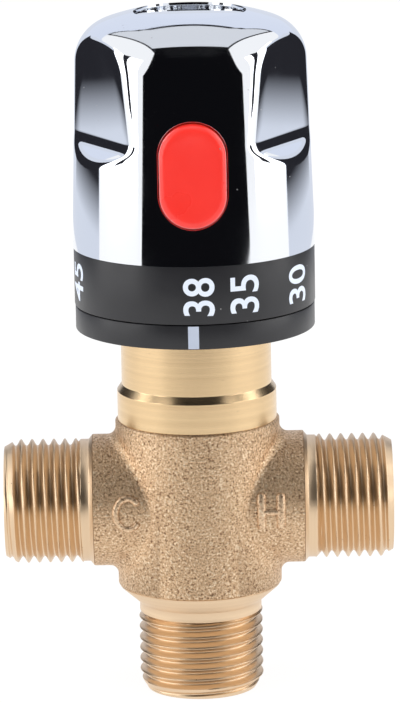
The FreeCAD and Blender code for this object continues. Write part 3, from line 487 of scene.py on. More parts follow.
def blasted_grain():
    """A shot-blasted casting: a height, masks of its peaks and pits, and slow patches."""
    group, start, end = effect_group("blasted_grain", {"Size": 0.45, "Blotch": 6.0},
                                     ["Height", "Peaks", "Pits", "Patches"])
    place = in_millimetres(group)
    size = start.outputs["Size"]
    fine = pattern(group, "ShaderNodeTexNoise", place, size)
    set_inputs(fine, Detail=3.0, Roughness=0.6)
    cells = pattern(group, "ShaderNodeTexVoronoi", place, size, share=1.25, feature="SMOOTH_F1")
    broad = pattern(group, "ShaderNodeTexNoise", place, start.outputs["Blotch"])
    set_inputs(broad, Detail=2.0)
    height = maths(group, "MULTIPLY_ADD", cells.outputs["Distance"], -0.6, fine.outputs["Fac"])
    group.links.new(height, end.inputs["Height"])
    for label, low, high in (("Peaks", 0.53, 0.66), ("Pits", 0.46, 0.33)):
        group.links.new(ranged(group, fine.outputs["Fac"], 0.0, 1.0, low, high),
                        end.inputs[label])
    link_up(group, broad, "Fac", end, "Patches")
    return group


def tool_rings():
    """Fine rings across an axis, as a lathe leaves them: a height and a slow tone along it."""
    group, start, end = effect_group("tool_rings", {"Along X": 0.0, "Ring": 0.12},
                                     ["Height", "Tone"])
    parts = add_node(group, "ShaderNodeSeparateXYZ")
    group.links.new(in_millimetres(group), parts.inputs[0])
    share = start.outputs["Along X"]
    along_x = maths(group, "MULTIPLY", parts.outputs["X"], share)
    along_z = maths(group, "MULTIPLY", parts.outputs["Z"], maths(group, "SUBTRACT", 1.0, share))
    place = maths(group, "ADD", along_x, along_z)
    rings = pattern(group, "ShaderNodeTexNoise", place, start.outputs["Ring"], socket="W",
                    noise_dimensions="1D")
    set_inputs(rings, Detail=2.0)
    slow = add_node(group, "ShaderNodeTexNoise", noise_dimensions="1D")
    set_inputs(slow, Scale=1.1, Detail=3.0)
    group.links.new(place, slow.inputs["W"])
    link_up(group, rings, "Fac", end, "Height")
    link_up(group, slow, "Fac", end, "Tone")
    return group


def dust_specks():
    """A thin scatter of tiny specks; Speck 1 on a speck and 0 elsewhere, Smudge a slow cloud."""
    group, start, end = effect_group("dust_specks", {"Spacing": 1.6, "Share": 0.3},
                                     ["Speck", "Smudge"])
    place = in_millimetres(group)
    cells = pattern(group, "ShaderNodeTexVoronoi", place, start.outputs["Spacing"], feature="F1")
    near = maths(group, "LESS_THAN", cells.outputs["Distance"], SPECK_RADIUS)
    chosen = add_node(group, "ShaderNodeSeparateColor")
    link_up(group, cells, "Color", chosen, 0)
    kept = maths(group, "LESS_THAN", chosen.outputs["Red"], start.outputs["Share"])
    group.links.new(maths(group, "MULTIPLY", near, kept), end.inputs["Speck"])
    cloud = add_node(group, "ShaderNodeTexNoise")
    set_inputs(cloud, Scale=0.12, Detail=4.0)
    group.links.new(place, cloud.inputs["Vector"])
    link_up(group, cloud, "Fac", end, "Smudge")
    return group


GRAIN, RINGS, SPECKS = blasted_grain(), tool_rings(), dust_specks()
print("effects:", GRAIN.name, RINGS.name, SPECKS.name)

# %% [markdown]
# A metal's colour is the tint of what it reflects. Brass is therefore written as a warm base
# colour with full metallic, and the roughness decides whether the studio shows as bands, as on
# the turned neck, or as an even sheen, as on the blasted casting.

# %% Finish helpers


def srgb(red, green, blue):
    """A display colour of 0-255 values as the linear colour that a shader wants."""
    linear = []
    for level in (red, green, blue):
        share = level / 255
        linear.append(share / 12.92 if share <= 0.04045 else ((share + 0.055) / 1.055) ** 2.4)
    return (*linear, 1.0)


def use_effect(tree, group, **values):
    """Place a shared effect in a material, with its own values."""
    node = add_node(tree, "ShaderNodeGroup", node_tree=group)
    set_inputs(node, **values)
    return node


def surface(tree, colour, roughness, **constants):
    """A Principled surface fed with a colour and a roughness, its other sockets constant."""
    shader = add_node(tree, "ShaderNodeBsdfPrincipled")
    set_inputs(shader, **constants)
    tree.links.new(colour, shader.inputs["Base Color"])
    tree.links.new(roughness, shader.inputs["Roughness"])
    show(tree, shader.outputs["BSDF"])
    return shader


def bump(tree, shader, height, depth):
    """Feed a height into the shader's normal; depth is how deep a height of 1 is, in mm."""
    node = add_node(tree, "ShaderNodeBump")
    set_inputs(node, Strength=1.0, Distance=depth * MM)
    tree.links.new(height, node.inputs["Height"])
    link_up(tree, node, "Normal", shader, "Normal")


# %% Brass, cast and turned
# Painted light on the casting's grain: a cream highlight on the peaks and a brown shade in the
# pits.
PIT_SHADE_BROWN, PEAK_HIGHLIGHT_CREAM = srgb(134, 100, 74), srgb(255, 232, 200)
SPECK_BROWN = srgb(120, 88, 60)
BRASS_TINTS = (srgb(222, 190, 146), srgb(240, 210, 166))
THREAD_TINTS = (srgb(224, 194, 160), srgb(241, 214, 180))


def cast_brass(name, tints, depth):
    """Shot-blasted cast brass: matt and grainy with slow patches; a painted highlight lightens
    its peaks and a painted shade darkens its pits.
    """
    material, tree = new_material(name)
    grain = use_effect(tree, GRAIN, Size=0.34, Blotch=7.0).outputs
    base = blend_colours(tree, grain["Patches"], *tints)
    # The grain's pits are painted brown, a painted shade in its hollows.
    pit_shaded = blend_colours(tree, grain["Pits"], base, PIT_SHADE_BROWN)
    # The grain's peaks are painted light cream, a painted highlight.
    final = blend_colours(tree, grain["Peaks"], pit_shaded, PEAK_HIGHLIGHT_CREAM)
    shader = surface(tree, final, ranged(tree, grain["Peaks"], 0.5, 0.36), Metallic=1.0)
    bump(tree, shader, grain["Height"], depth)
    return material


def turned_brass(name, along_x, tints, roughness, depth):
    """Lathe-cut brass: clean and brighter, with fine rings across the turning axis."""
    material, tree = new_material(name)
    rings = use_effect(tree, RINGS, Along_X=along_x, Ring=0.11).outputs
    specks = use_effect(tree, SPECKS, Spacing=1.3, Share=0.35).outputs
    tone = blend_colours(tree, rings["Tone"], *tints)
    final = blend_colours(tree, specks["Speck"], tone, SPECK_BROWN)
    shader = surface(tree, final, ranged(tree, specks["Smudge"], *roughness), Metallic=1.0)
    bump(tree, shader, rings["Height"], depth)
    return material


BLASTED = cast_brass("blasted_brass", (srgb(210, 175, 139), srgb(234, 200, 161)), 0.14)
# A lighter, smoother copy of the blasted brass for the raised letters: a painted highlight.
LETTER_HIGHLIGHT_BRASS = cast_brass("letter_highlight_brass", (srgb(226, 192, 156), srgb(246, 214, 178)), 0.05)
TURNED_UP = turned_brass("turned_brass_upright", 0.0, BRASS_TINTS, (0.2, 0.26), 0.003)
THREAD_UP = turned_brass("thread_brass_upright", 0.0, THREAD_TINTS, (0.3, 0.42), 0.01)
THREAD_ACROSS = turned_brass("thread_brass_across", 1.0, THREAD_TINTS, (0.3, 0.42), 0.01)
print("brass finishes:", BLASTED.name, LETTER_HIGHLIGHT_BRASS.name, TURNED_UP.name, THREAD_UP.name)

# %% Chrome, plastics, rubber and steel
CHROME_TINT, CHROME_SPECK = srgb(240, 243, 248), srgb(205, 205, 208)
DUST_GREY = srgb(150, 150, 150)
STEEL_TINTS = (srgb(160, 162, 166), srgb(205, 206, 210))


def chrome():
    """Bright chrome on moulded plastic: almost a mirror, with a few specks and a faint haze."""
    material, tree = new_material("bright_chrome")
    specks = use_effect(tree, SPECKS, Spacing=2.2, Share=0.25).outputs
    final = blend_colours(tree, specks["Speck"], CHROME_TINT, CHROME_SPECK)
    haze = ranged(tree, specks["Smudge"], 0.03, 0.07, 0.35, 0.75)
    surface(tree, final, maths(tree, "MULTIPLY_ADD", specks["Speck"], 0.3, haze), Metallic=1.0)
    return material


def plastic(name, tints, roughness, depth, coat=0.0):
    """Moulded plastic: one colour with a slow drift in tone, a fine spark texture and dust."""
    material, tree = new_material(name)
    grain = use_effect(tree, GRAIN, Size=0.3, Blotch=5.0).outputs
    specks = use_effect(tree, SPECKS, Spacing=2.0, Share=0.3).outputs
    tone = blend_colours(tree, grain["Patches"], *tints)
    final = blend_colours(tree, specks["Speck"], tone, DUST_GREY)
    shader = surface(tree, final, ranged(tree, specks["Smudge"], *roughness, 0.3, 0.7),
                     Coat_Weight=coat, Coat_Roughness=0.08)
    bump(tree, shader, grain["Height"], depth)
    return material


def spring_steel():
    """Drawn steel wire: grey, satin, with faint draw marks."""
    material, tree = new_material("drawn_steel")
    grain = use_effect(tree, GRAIN, Size=0.5, Blotch=3.0).outputs
    tone = blend_colours(tree, grain["Patches"], *STEEL_TINTS)
    shader = surface(tree, tone, ranged(tree, grain["Patches"], 0.22, 0.38), Metallic=1.0)
    bump(tree, shader, grain["Height"], 0.01)
    return material


CHROME = chrome()
RING_BLACK = plastic("ring_black", (srgb(30, 30, 33), srgb(40, 40, 44)), (0.3, 0.42), 0.006)
BUTTON_RED = plastic("button_red", (srgb(248, 40, 30), srgb(255, 52, 40)), (0.24, 0.34), 0.004,
                     coat=0.4)
PLAIN_WHITE = plastic("white_acetal", (srgb(225, 225, 222), srgb(238, 238, 235)), (0.4, 0.5),
                      0.006)
SEAL_BLACK = plastic("seal_black", (srgb(24, 24, 25), srgb(32, 32, 33)), (0.5, 0.62), 0.012)
PRINT_WHITE = plastic("print_white", (srgb(222, 232, 250), srgb(236, 243, 255)), (0.45, 0.6),
                      0.003)
MARK_GREY = plastic("mark_grey", (srgb(178, 188, 208), srgb(196, 204, 220)), (0.45, 0.6), 0.003)
STEEL = spring_steel()

SLOT_FINISH = {"cast_brass": BLASTED, "turned_brass": TURNED_UP, "chrome_plate": CHROME,
               "black_plastic": RING_BLACK, "red_plastic": BUTTON_RED,
               "white_plastic": PLAIN_WHITE, "seal_rubber": SEAL_BLACK, "spring_steel": STEEL}
print("finishes:", len(bpy.data.materials))

# %% [markdown]
# ## Cast body
#
# The real body is one sand casting with its ends turned afterwards. The CAD piece already has the
# right form and the soft seams where the inlets leave the barrel. A copy of its mesh is merged
# and cut off at the planes where the turned ends start. What is left gets the blasted finish.

# %% Cast body
CAD_MERGE = 0.0006


def copy_of(node):
    """A merged copy of a CAD node's mesh, in millimetres."""
    mesh = bmesh.new()
    mesh.from_mesh(nodes[node].data)
    bmesh.ops.scale(mesh, vec=(1 / MM, 1 / MM, 1 / MM), verts=mesh.verts)
    bmesh.ops.remove_doubles(mesh, verts=mesh.verts, dist=CAD_MERGE)
    return mesh


def trim(mesh, place, outward):
    """Cut a mesh with a plane and drop what lies outward of it."""
    bmesh.ops.bisect_plane(mesh, geom=[*mesh.verts, *mesh.edges, *mesh.faces], dist=1e-4,
                           plane_co=place, plane_no=outward, clear_outer=True)


def open_edges(mesh):
    """The edges that have a face on one side only."""
    return [edge for edge in mesh.edges if edge.is_boundary]


cast = copy_of("valve_body")
for place, outward in (((COLLAR_REACH, 0, 0), (1, 0, 0)), ((-COLLAR_REACH, 0, 0), (-1, 0, 0)),
                       ((0, 0, CAST_FOOT), (0, 0, -1)), ((0, 0, CAST_TOP), (0, 0, 1))):
    trim(cast, place, outward)
    bmesh.ops.triangle_fill(cast, edges=open_edges(cast), use_beauty=True, normal=outward)
print("open edges after the cuts:", len(open_edges(cast)))
finish("cast_body", cast, BLASTED, "valve", ["valve_body"])

# %% [markdown]
# ## Threaded ends
#
# The three ends have G 1/2 pipe threads: 14 turns to the inch. A row of points that rises and
# falls once per pitch is spun round the port while it creeps one pitch per turn, so that its last
# row meets its first, a pitch further on. Planes then cut both ends square, and the rest of the
# turned end is carried on from the cut edge, corner by corner, down the bore and back.

# %% Thread helpers
THREAD_PITCH, THREAD_CREST, THREAD_DEPTH = 1.814, 10.3, 1.1
THREAD_ROWS = 18
THREAD_COLUMNS = 108
THREAD_MERGE = 0.002
PORT_END, PORT_CHAMFER = 9.1, 2.1
RUNOUT_SLOPE = 1.1
LEAST_RADIUS = 5.0
SHANK = 10.15
BORE = 7.5


def move_to(vert, middle, along, place, radius):
    """Put a vertex at a place along an axis and a distance from it, keeping its bearing."""
    bearing = vert.co - middle
    bearing = (bearing - along * bearing.dot(along)).normalized()
    vert.co = middle + along * place + bearing * radius


def thread_mesh(middle, along, across, start, turns):
    """Wavy rows of points, spun round the port while they creep one pitch per turn."""
    mesh = bmesh.new()
    points = []
    for row in range(turns * THREAD_ROWS + 1):
        place = start - THREAD_PITCH * 1.5 + row * THREAD_PITCH / THREAD_ROWS
        # The crests are a little narrower than the grooves.
        wave = 0.5 - 0.5 * math.cos(2 * math.pi * row / THREAD_ROWS)
        depth = THREAD_DEPTH * (0.15 * wave + 0.85 * wave ** 0.85)
        points.append(mesh.verts.new(middle + along * place + across * (THREAD_CREST - depth)))
    for pair in zip(points, points[1:]):
        mesh.edges.new(pair)
    bmesh.ops.spin(mesh, geom=[*mesh.verts, *mesh.edges], cent=middle, axis=along,
                   dvec=along * (THREAD_PITCH / THREAD_COLUMNS), angle=2 * math.pi,
                   steps=THREAD_COLUMNS)
    bmesh.ops.remove_doubles(mesh, verts=mesh.verts, dist=THREAD_MERGE)
    return mesh


def threaded_end(middle, along, across, start, stop, corners):
    """A threaded end from start to stop along its port, closed by (place, radius) corners."""
    mesh = thread_mesh(middle, along, across, start, int((stop - start) / THREAD_PITCH + 3))
    for vert in mesh.verts:
        place = (vert.co - middle).dot(along)
        radius = (vert.co - middle - along * place).length
        cone = PORT_END + (stop - place) * (THREAD_CREST - PORT_END) / PORT_CHAMFER
        runout = THREAD_CREST - max(0.0, (place - start) * RUNOUT_SLOPE)
        inner = min(runout, SHANK)
        outer = max(cone, LEAST_RADIUS)
        move_to(vert, middle, along, place, min(max(radius, inner), outer))
    for place, outward in ((start, -along), (stop, along)):
        trim(mesh, middle + along * place, outward)
    rims = open_edges(mesh)
    rim = [edge for edge in rims
           if all(abs((vert.co - middle).dot(along) - stop) < 0.01 for vert in edge.verts)]
    near = [edge for edge in rims if edge not in set(rim)]
    for place, radius in corners:
        verts, rim = extruded(mesh, rim)
        for vert in verts:
            move_to(vert, middle, along, place, radius)
    bmesh.ops.bridge_loops(mesh, edges=[*rim, *near])
    return mesh


print(f"thread: {25.4 / THREAD_PITCH:.0f} turns to the inch, {2 * THREAD_CREST} mm wide")

# %% Hot, cold and mixed ends
INLET_THREAD, OUTLET_THREAD = 19.3, -13.5
RING_LOW, RING_HIGH = span("hot_snap_ring", 0)
UP = Vector((0, 0, 1))
INLET_CORNERS = [
    (PORT_REACH, 8.0), (PORT_REACH - 0.4, BORE), (RING_HIGH + 0.05, BORE),
    (RING_HIGH + 0.05, 8.1), (RING_LOW, 8.1), (RING_LOW, BORE),
    (COLLAR_REACH, BORE), (COLLAR_REACH, COLLAR - 0.12),
    (COLLAR_REACH + 0.08, COLLAR - 0.02), (COLLAR_REACH + 0.62, SHANK + 0.1),
    (COLLAR_REACH + 0.75, SHANK), (INLET_THREAD - 0.1, SHANK),
]
for name, sign in (("hot_inlet_end", 1), ("cold_inlet_end", -1)):
    port = threaded_end(UP * PORT_HEIGHT, Vector((sign, 0, 0)), UP, INLET_THREAD, PORT_REACH,
                        INLET_CORNERS)
    print(name, "open edges:", len(open_edges(port)))
    finish(name, port, THREAD_ACROSS, "valve", ["valve_body"], sharp=40)

OUTLET_CORNERS = [
    (0.0, 8.0), (-0.4, BORE), (-CAST_FOOT, BORE), (-CAST_FOOT, 13.3), (0.2 - CAST_FOOT, 13.42),
    (0.45 - CAST_FOOT, 13.36), (-15.0, SHANK + 0.1), (-14.8, SHANK), (OUTLET_THREAD - 0.1, SHANK),
]
outlet = threaded_end(UP * 0, -UP, Vector((0, -1, 0)), OUTLET_THREAD, 0.0, OUTLET_CORNERS)
print("mixed_outlet_end open edges:", len(open_edges(outlet)))
finish("mixed_outlet_end", outlet, THREAD_UP, "valve", ["valve_body"], sharp=40)

# %% [markdown]
# ## Turned neck
#
# Above the casting the lathe has left a bright neck with a chamfered step. It is a plain spin of
# its outline, with small edge breaks on its corners.

# %% Neck
NECK = [(CAST_TOP, 10.0), (CAST_TOP, 13.17), (51.0, 13.17), (52.1, 12.4), (62.35, 12.4),
        (62.35, 11.6), (68.5, 11.6), (68.5, 10.0)]
finish("turned_neck", turned(NECK, soften=0.06), TURNED_UP, "valve",
       ["valve_body"], even=True)

# %% [markdown]
# ## Rings under the knob
#
# Two black mouldings sit under the knob: a fixed ring that carries the index mark, and the dial
# that turns with the knob. A hair-line gap parts them, so each gets its own rounded edges.

# %% Stop ring and dial
STOP_RADIUS, DIAL_RADIUS = 19.7, 19.8
RING_ROUND = 192
stop_outline = [(61.7, 12.5), (61.7, STOP_RADIUS), (65.65, STOP_RADIUS), (65.65, 18.0),
                (63.2, 18.0), (63.2, 14.0), (66.0, 14.0), (66.0, 11.7), (62.4, 11.7),
                (62.4, 12.5)]
dial_outline = [(65.8, 17.6), (65.8, DIAL_RADIUS), (75.33, DIAL_RADIUS), (75.33, 17.5),
                (78.95, 17.5), (78.95, 16.0), (73.95, 16.0), (73.95, 17.6)]
for name, outline, body, node in (("index_ring", stop_outline, "valve", "stop_ring"),
                                  ("temperature_dial", dial_outline, "knob", "dial_ring")):
    finish(name, turned(outline, steps=RING_ROUND, soften=0.16), RING_BLACK, body,
           [node])

# %% [markdown]
# ## Knob
#
# The knob is an injection moulding plated with chrome: a drum that tapers upwards, a soft
# shoulder, a slightly domed crown and three flats for the fingers. Each flat starts on a
# 45-degree ledge with a rounded foot, leans a little outwards and runs out in an arch where it
# meets the shoulder. A mirror finish shows every facet, so the drum is spun with many rows and
# columns, and the flats are pressed in by moving points towards the axis, with a soft minimum
# that leaves the small radius of a real mould edge.

# %% Knob outline
DRUM_FOOT = 19.93
DRUM_ROUND = 360
WALL_ROWS = 124
SHOULDER_MIDDLE, SHOULDER_RADIUS = (105.907, 11.933), 7.0
CROWN_MIDDLE, CROWN_RADIUS = (71.81, 0.406), 43.0
WALL_TILT, CROWN_TILT, RIM_TILT = 1.893, 71.31, 78.2


def arc_points(middle, radius, start, stop, count):
    """Points of an arc about a (height, radius) middle; start and stop are tilts in degrees."""
    tilts = [math.radians(start + (stop - start) * step / count) for step in range(count + 1)]
    return [(middle[0] + radius * math.sin(tilt), middle[1] + radius * math.cos(tilt))
            for tilt in tilts]


def drum_radius(height):
    """Radius of the drum's tapered wall at a height."""
    return DRUM_FOOT + (top_radius - DRUM_FOOT) * (height - KNOB_FOOT) / (wall_top - KNOB_FOOT)


shoulder = arc_points(SHOULDER_MIDDLE, SHOULDER_RADIUS, WALL_TILT, CROWN_TILT, 52)
crown = arc_points(CROWN_MIDDLE, CROWN_RADIUS, CROWN_TILT, RIM_TILT, 20)
wall_top, top_radius = shoulder[0]
heights = [KNOB_FOOT + (wall_top - KNOB_FOOT) * row / WALL_ROWS for row in range(WALL_ROWS + 1)]
wall = [(height, drum_radius(height)) for height in heights]
inside = [(111.25, 9.2), (111.2, 6.0), (108.5, 6.0), (108.5, 10.5), (103.5, 15.2), (79.0, 15.2),
          (79.0, 17.55), (KNOB_FOOT, 17.55)]
drum = turned(wall + shoulder[1:] + crown[1:] + inside, steps=DRUM_ROUND)
print(f"drum: radius {DRUM_FOOT} mm at its foot, {top_radius:.2f} mm under the shoulder")

# %% Finger flats
INNER_WALL = 16.0
GRIP_FLAT = 16.9
GRIP_LEDGE = 93.5
GRIP_BEARINGS = (60, 180, 300)
GRIP_FOOT_RADIUS = 2.6
GRIP_LEAN = 0.035
EDGE_WIDTH = 0.9


def grip_distance(height):
    """Distance of a finger flat from the axis at a height: ledge, rounded foot, leaning flat."""
    foot = GRIP_LEDGE + GRIP_FOOT_RADIUS * math.tan(math.pi / 8)
    if height < foot - GRIP_FOOT_RADIUS * math.sqrt(0.5):
        return GRIP_FLAT + (GRIP_LEDGE - height)
    if height < foot:
        rise = math.sqrt(GRIP_FOOT_RADIUS ** 2 - (foot - height) ** 2)
        return GRIP_FLAT + GRIP_FOOT_RADIUS - rise
    return GRIP_FLAT + GRIP_LEAN * (height - foot)


def soft_minimum(first, second, width):
    """The smaller of two lengths, with a rounded hand-over of the given width."""
    if abs(first - second) >= width:
        return min(first, second)
    share = 0.5 + 0.5 * (second - first) / width
    return second + (first - second) * share - width * share * (1 - share)


pressed = 0
for vert in drum.verts:
    radius = vert.co.xy.length
    distance = grip_distance(vert.co.z)
    if radius < INNER_WALL or vert.co.z < KNOB_FOOT + 0.5:
        continue
    for bearing in GRIP_BEARINGS:
        facing_flat = at_bearing(math.radians(bearing), 1, 0).xy
        share = vert.co.xy.normalized().dot(facing_flat)
        if share < 0.5:
            continue
        wanted = soft_minimum(radius, distance / share, EDGE_WIDTH)
        if wanted < radius - 1e-4:
            vert.co.xy = vert.co.xy.normalized() * wanted
            pressed += 1
print("points pressed into the finger flats:", pressed)

# %% [markdown]
# The button's window is cut with a stadium-shaped punch. The punch follows the drum's curve and
# flares at its mouth, which leaves the rounded lip that the plating picks out as a bright line.

# %% Window and knob shell
WINDOW_HALF = 5.6
WINDOW_REACH = 3.1
WINDOW_STEPS = 96
LIP = 0.12
PUNCH_DEPTH = 6.5


def stadium(mesh, half):
    """A closed stadium outline about the button's middle, in the plane y = 0."""
    ring = bmesh.ops.create_circle(mesh, segments=WINDOW_STEPS, radius=half)["verts"]
    for vert in ring:
        vert.co = Vector((vert.co.x, 0, vert.co.y))
        if abs(vert.co.z) > 1e-6:
            vert.co.z += math.copysign(WINDOW_REACH, vert.co.z)
        vert.co.z += BUTTON_MIDDLE
    return ring


def stadium_column(stations, on_drum=False):
    """A closed column of stadium rings at (half width, y); y may count from the drum's wall."""
    mesh = bmesh.new()
    rings = []
    for half, depth in stations:
        ring = stadium(mesh, half)
        for vert in ring:
            wall_y = -math.sqrt(drum_radius(vert.co.z) ** 2 - vert.co.x ** 2) if on_drum else 0.0
            vert.co.y = wall_y + depth
        rings.append(ring)
    loops = skinned(mesh, rings)
    for end in (loops[0], loops[-1]):
        bmesh.ops.edgeloop_fill(mesh, edges=end)
    return mesh


def cut_with(mesh, punch):
    """Boolean difference of two bmeshes in millimetres; returns a new bmesh."""
    blank, tool = (put_in_scene(name, mesh_data(name, source))
                   for name, source in (("blank", mesh), ("punch", punch)))
    cut = blank.modifiers.new("cut", "BOOLEAN")
    cut.operation = "DIFFERENCE"
    cut.solver = "EXACT"
    cut.object = tool
    result = evaluated(blank)
    for holder in (blank, tool):
        bpy.data.objects.remove(holder)
    return result


lip_turns = [step * math.pi / 12 for step in range(7)]
lip = [(LIP * (1 - math.sin(turn)), LIP * (1 - math.cos(turn))) for turn in lip_turns]
punch = stadium_column([(WINDOW_HALF + spread, depth)
                        for spread, depth in [(LIP + 0.15, -1.5), *lip, (0.0, PUNCH_DEPTH)]],
                       on_drum=True)
bmesh.ops.recalc_face_normals(punch, faces=punch.faces)
print("punch about height", BUTTON_MIDDLE, "with", len(punch.faces), "faces")
drum = cut_with(cleaned(drum), punch)
print("knob shell open edges:", len(open_edges(drum)))
finish("knob_shell", drum, CHROME, "knob", ["handle_shell"], sharp=50)

# %% [markdown]
# A chrome plug closes the screw hole in the crown. It sits a little below the rim, so its edge
# draws a dark ring round the top.

# %% Top plug
plug_outline = [(111.3, 0.0), (111.3, 9.12), (113.15, 9.12), (113.4, 9.0), (113.5, 8.7),
                (113.5, 0.0)]
finish("top_plug", turned(plug_outline, closed=False, steps=RING_ROUND), CHROME, "knob",
       ["top_cap"], sharp=50)

# %% [markdown]
# ## Safety button
#
# The red button stops the knob at 38 degrees until it is pressed. It stands a little proud of the
# knob, with a rounded rim and a flat face. The stadium outline is extruded from its flange to the
# face, and inset rings round its rim.

# %% Button
BUTTON_HALF = 5.4
ROUND_RIM = 1.1
FLANGE = 0.8
button_face = -span("safety_button", 1)[0]
rim_turns = [step * math.pi / 16 for step in range(9)]
rim_rings = [(BUTTON_HALF - ROUND_RIM * (1 - math.cos(turn)),
              -(button_face - ROUND_RIM) - ROUND_RIM * math.sin(turn)) for turn in rim_turns]
dish = [(3.6, -button_face + 0.03), (2.6, -button_face + 0.1), (1.2, -button_face + 0.16)]
flange = [(BUTTON_HALF + FLANGE, -12.5), (BUTTON_HALF + FLANGE, -13.5), (BUTTON_HALF, -13.5)]
finish("red_button", stadium_column([*flange, *rim_rings, *dish]), BUTTON_RED, "button",
       ["safety_button"], sharp=40)

# %% [markdown]
# ## Printing on the dial
#
# The temperatures are printed up the dial, so they are read with the head tilted to the left.
# Text is made flat, turned into a mesh and sliced into narrow strips. Only then is it wrapped
# round the ring, because a long face would cut the corner instead of following the curve.

# %% Printing helpers
NUMBER_FOOT = 67.25
NUMBER_TALL, NUMBER_LONG = 5.1, 6.25
NUMBER_WEIGHT = 0.12
INK = 0.012
SLICE = 0.35


def flat_text(words):
    """Bold text as a bmesh: x along the reading line, y up, centred, in millimetres."""
    curve = bpy.data.curves.new("lettering", "FONT")
    curve.body = words
    curve.size = 10.0
    curve.offset = NUMBER_WEIGHT
    curve.extrude = INK
    curve.resolution_u = 8
    curve.space_character = 1.02
    holder = put_in_scene("lettering", curve)
    mesh = evaluated(holder)
    bpy.data.objects.remove(holder)
    bmesh.ops.remove_doubles(mesh, verts=mesh.verts, dist=0.0005)
    lows = [min(vert.co[axis] for vert in mesh.verts) for axis in (0, 1)]
    highs = [max(vert.co[axis] for vert in mesh.verts) for axis in (0, 1)]
    scale = NUMBER_TALL / (highs[1] - lows[1])
    for vert in mesh.verts:
        vert.co.x = (vert.co.x - (lows[0] + highs[0]) / 2) * scale
        vert.co.y = (vert.co.y - (lows[1] + highs[1]) / 2) * scale
    return mesh


def sliced(mesh, reach, step):
    """Slice a mesh across its y axis every step millimetres."""
    for count in range(int(-reach / step), int(reach / step) + 1):
        bmesh.ops.bisect_plane(mesh, geom=[*mesh.verts, *mesh.edges, *mesh.faces], dist=1e-5,
                               plane_co=(0, count * step, 0), plane_no=(0, 1, 0))


def print_number(words, bearing):
    """Wrap a number on the dial, its foot towards the stop ring; bearing 0 faces the front."""
    mesh = flat_text(words)
    length = max(vert.co.x for vert in mesh.verts) * 2
    sliced(mesh, NUMBER_TALL / 2, SLICE)
    for vert in mesh.verts:
        turn = math.radians(bearing) - vert.co.y / DIAL_RADIUS
        radius = DIAL_RADIUS + 0.005 + max(vert.co.z, 0) * 2
        height = NUMBER_FOOT + (vert.co.x + length / 2) * NUMBER_LONG / length
        vert.co = at_bearing(turn, radius, height)
    finish(f"number_{words}", mesh, PRINT_WHITE, "knob")


# %% Numbers and index mark
MARK_WIDE, MARK_TALL = 1.75, 3.7
MARK_MIDDLE = 63.68
MARK_SHIFT = 0.35
MARK_INK = 0.03
for words, bearing in (("38", 1.8), ("35", 24.0), ("30", 57.8), ("45", -74.0), ("20", 118.0)):
    print_number(words, bearing)

mark = bmesh.new()
bmesh.ops.create_grid(mark, x_segments=8, y_segments=1, size=0.5)
bmesh.ops.scale(mark, vec=(MARK_WIDE, MARK_TALL, 1), verts=mark.verts)
made = bmesh.ops.extrude_face_region(mark, geom=list(mark.faces))["geom"]
bmesh.ops.translate(mark, verts=[item for item in made if isinstance(item, bmesh.types.BMVert)],
                    vec=(0, 0, MARK_INK))
for vert in mark.verts:
    vert.co = at_bearing((vert.co.x - MARK_SHIFT) / STOP_RADIUS, STOP_RADIUS + vert.co.z,
                         MARK_MIDDLE + vert.co.y)
finish("index_mark", mark, MARK_GREY, "valve")

# %% [markdown]
# ## Cast letters
#
# A letter on each inlet says which supply it takes. They are raised strokes with soft shoulders,
# as a pattern maker cuts them, and a shallower blasted grain covers them, painted lighter than
# the casting as a painted highlight. Each stroke is a path with an oval section, laid on the
# curve of the collar and half sunk in it.

# %% Stroke helpers
STROKE_SIDES = 14
NOSE = ((0.38, 0.85), (0.62, 0.45 / 0.85))


def stroke(mesh, path, width, height):
    """Sweep a half-sunk oval along a flat path, with round ends."""
    count = len(path)
    rings = []
    for step, point in enumerate(path):
        before, after = path[max(step - 1, 0)], path[min(step + 1, count - 1)]
        heading = Vector((after[0] - before[0], after[1] - before[1], 0)).normalized()
        across = Vector((-heading.y, heading.x, 0))
        ring = bmesh.ops.create_circle(mesh, segments=STROKE_SIDES, radius=1.0)["verts"]
        for vert in ring:
            vert.co = (Vector((*point, 0)) + across * (vert.co.x * width / 2)
                       + Vector((0, 0, vert.co.y * height)))
        rings.append(ring)
    loops = skinned(mesh, rings)
    for edges, end, inner in ((loops[0], path[0], path[1]), (loops[-1], path[-1], path[-2])):
        heading = Vector((end[0] - inner[0], end[1] - inner[1], 0)).normalized()
        for reach, size in NOSE:
            verts, edges = extruded(mesh, edges)
            foot = Vector((*end, 0)) + heading * (reach * width / 2)
            centre = sum((vert.co for vert in verts), Vector()) / len(verts)
            for vert in verts:
                vert.co = foot + (vert.co - centre) * size
        bmesh.ops.edgeloop_fill(mesh, edges=edges)


def line_points(start, stop, count=10):
    """Evenly spaced points of a straight line."""
    first, last = Vector(start), Vector(stop)
    return [tuple(first.lerp(last, step / count)) for step in range(count + 1)]


def wrapped_letter(name, mesh, middle):
    """Lay a flat letter on the front of an inlet's collar."""
    for vert in mesh.verts:
        turn = vert.co.y / COLLAR
        radius = COLLAR - 0.05 + vert.co.z
        vert.co = Vector((middle + vert.co.x, -math.cos(turn) * radius,
                          PORT_HEIGHT + 0.15 + math.sin(turn) * radius))
    # The letters take the lighter copy of the brass, which paints a highlight on them.
    finish(name, mesh, LETTER_HIGHLIGHT_BRASS, "valve")


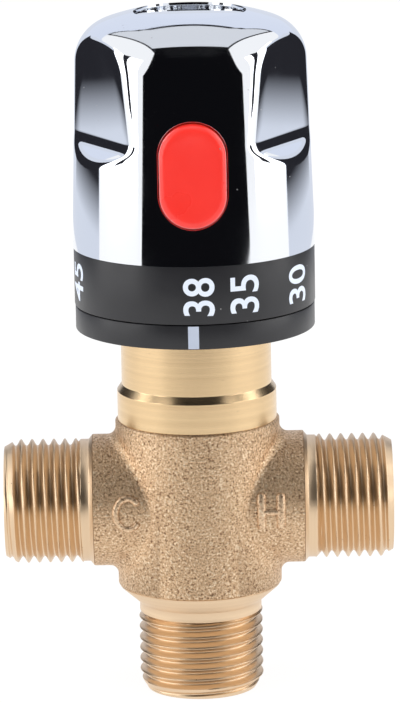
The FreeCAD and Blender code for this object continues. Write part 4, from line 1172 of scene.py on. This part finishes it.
# %% Letters C and H
letter_c = bmesh.new()
bow = [(2.05 * math.cos(math.radians(angle)), 2.65 * math.sin(math.radians(angle)))
       for angle in range(42, 319, 12)]
stroke(letter_c, bow, 1.15, 0.5)
wrapped_letter("letter_C", letter_c, -11.7)

letter_h = bmesh.new()
for side in (-1, 1):
    stroke(letter_h, line_points((side * 1.6, -2.6), (side * 1.6, 2.6)), 1.5, 0.55)
stroke(letter_h, line_points((-1.4, -0.1), (1.4, -0.1)), 1.1, 0.45)
wrapped_letter("letter_H", letter_h, 11.85)

# %% [markdown]
# ## Working springs
# ## Springs
#
# Springs change length as the part that they push moves. Each CAD coil is copied, and a copy can
# be made shorter by a fixed room towards the end that stands still. A spring of its own rigid
# shape would cut into the poppet, the spool or the button; these copies keep one shape and do not
# follow their joints.

# %% Springs


def working_spring(node, body, axis, standing, room=0.0):
    """A copy of a CAD spring, shortened by a fixed room towards its standing end (0 low, 1 high).

    Room is how much shorter than the CAD coil it is made, in millimetres.
    """
    number = axis.index(1)
    ends = span(node, number)
    low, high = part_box(node)
    anchor = [(low[index] + high[index]) / 2 for index in range(3)]
    anchor[number] = ends[standing] * MM
    length = ends[1] - ends[0]
    wire = copy_of(node)
    for vert in wire.verts:
        vert.co[number] -= (vert.co[number] - ends[standing]) * room / length
    coil = finish(node + "_coil", wire, STEEL, body, [node], sharp=60)
    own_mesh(coil)


working_spring("hot_check_spring", "valve", (1, 0, 0), 0)
working_spring("cold_check_spring", "valve", (1, 0, 0), 1)
working_spring("button_spring", "knob", (0, 1, 0), 1)
working_spring("return_spring", "valve", (0, 0, 1), 0, room=0.34)

# %% [markdown]
# ## Hidden and carried-over pieces
#
# The cartridge, seals and check valves keep their CAD shapes, which are already right.
# Each takes the finish of its slot in the record, so that what shows through the bores is brass,
# rubber, steel or white plastic, as it is when such a valve is taken apart.

# %% Finishes on the CAD pieces
for part in frame["record"]["subparts"]:
    node = nodes[part["node"] if "node" in part else part["name"]]
    node.data.materials.clear()
    node.data.materials.append(SLOT_FINISH[part["material_slot"]])
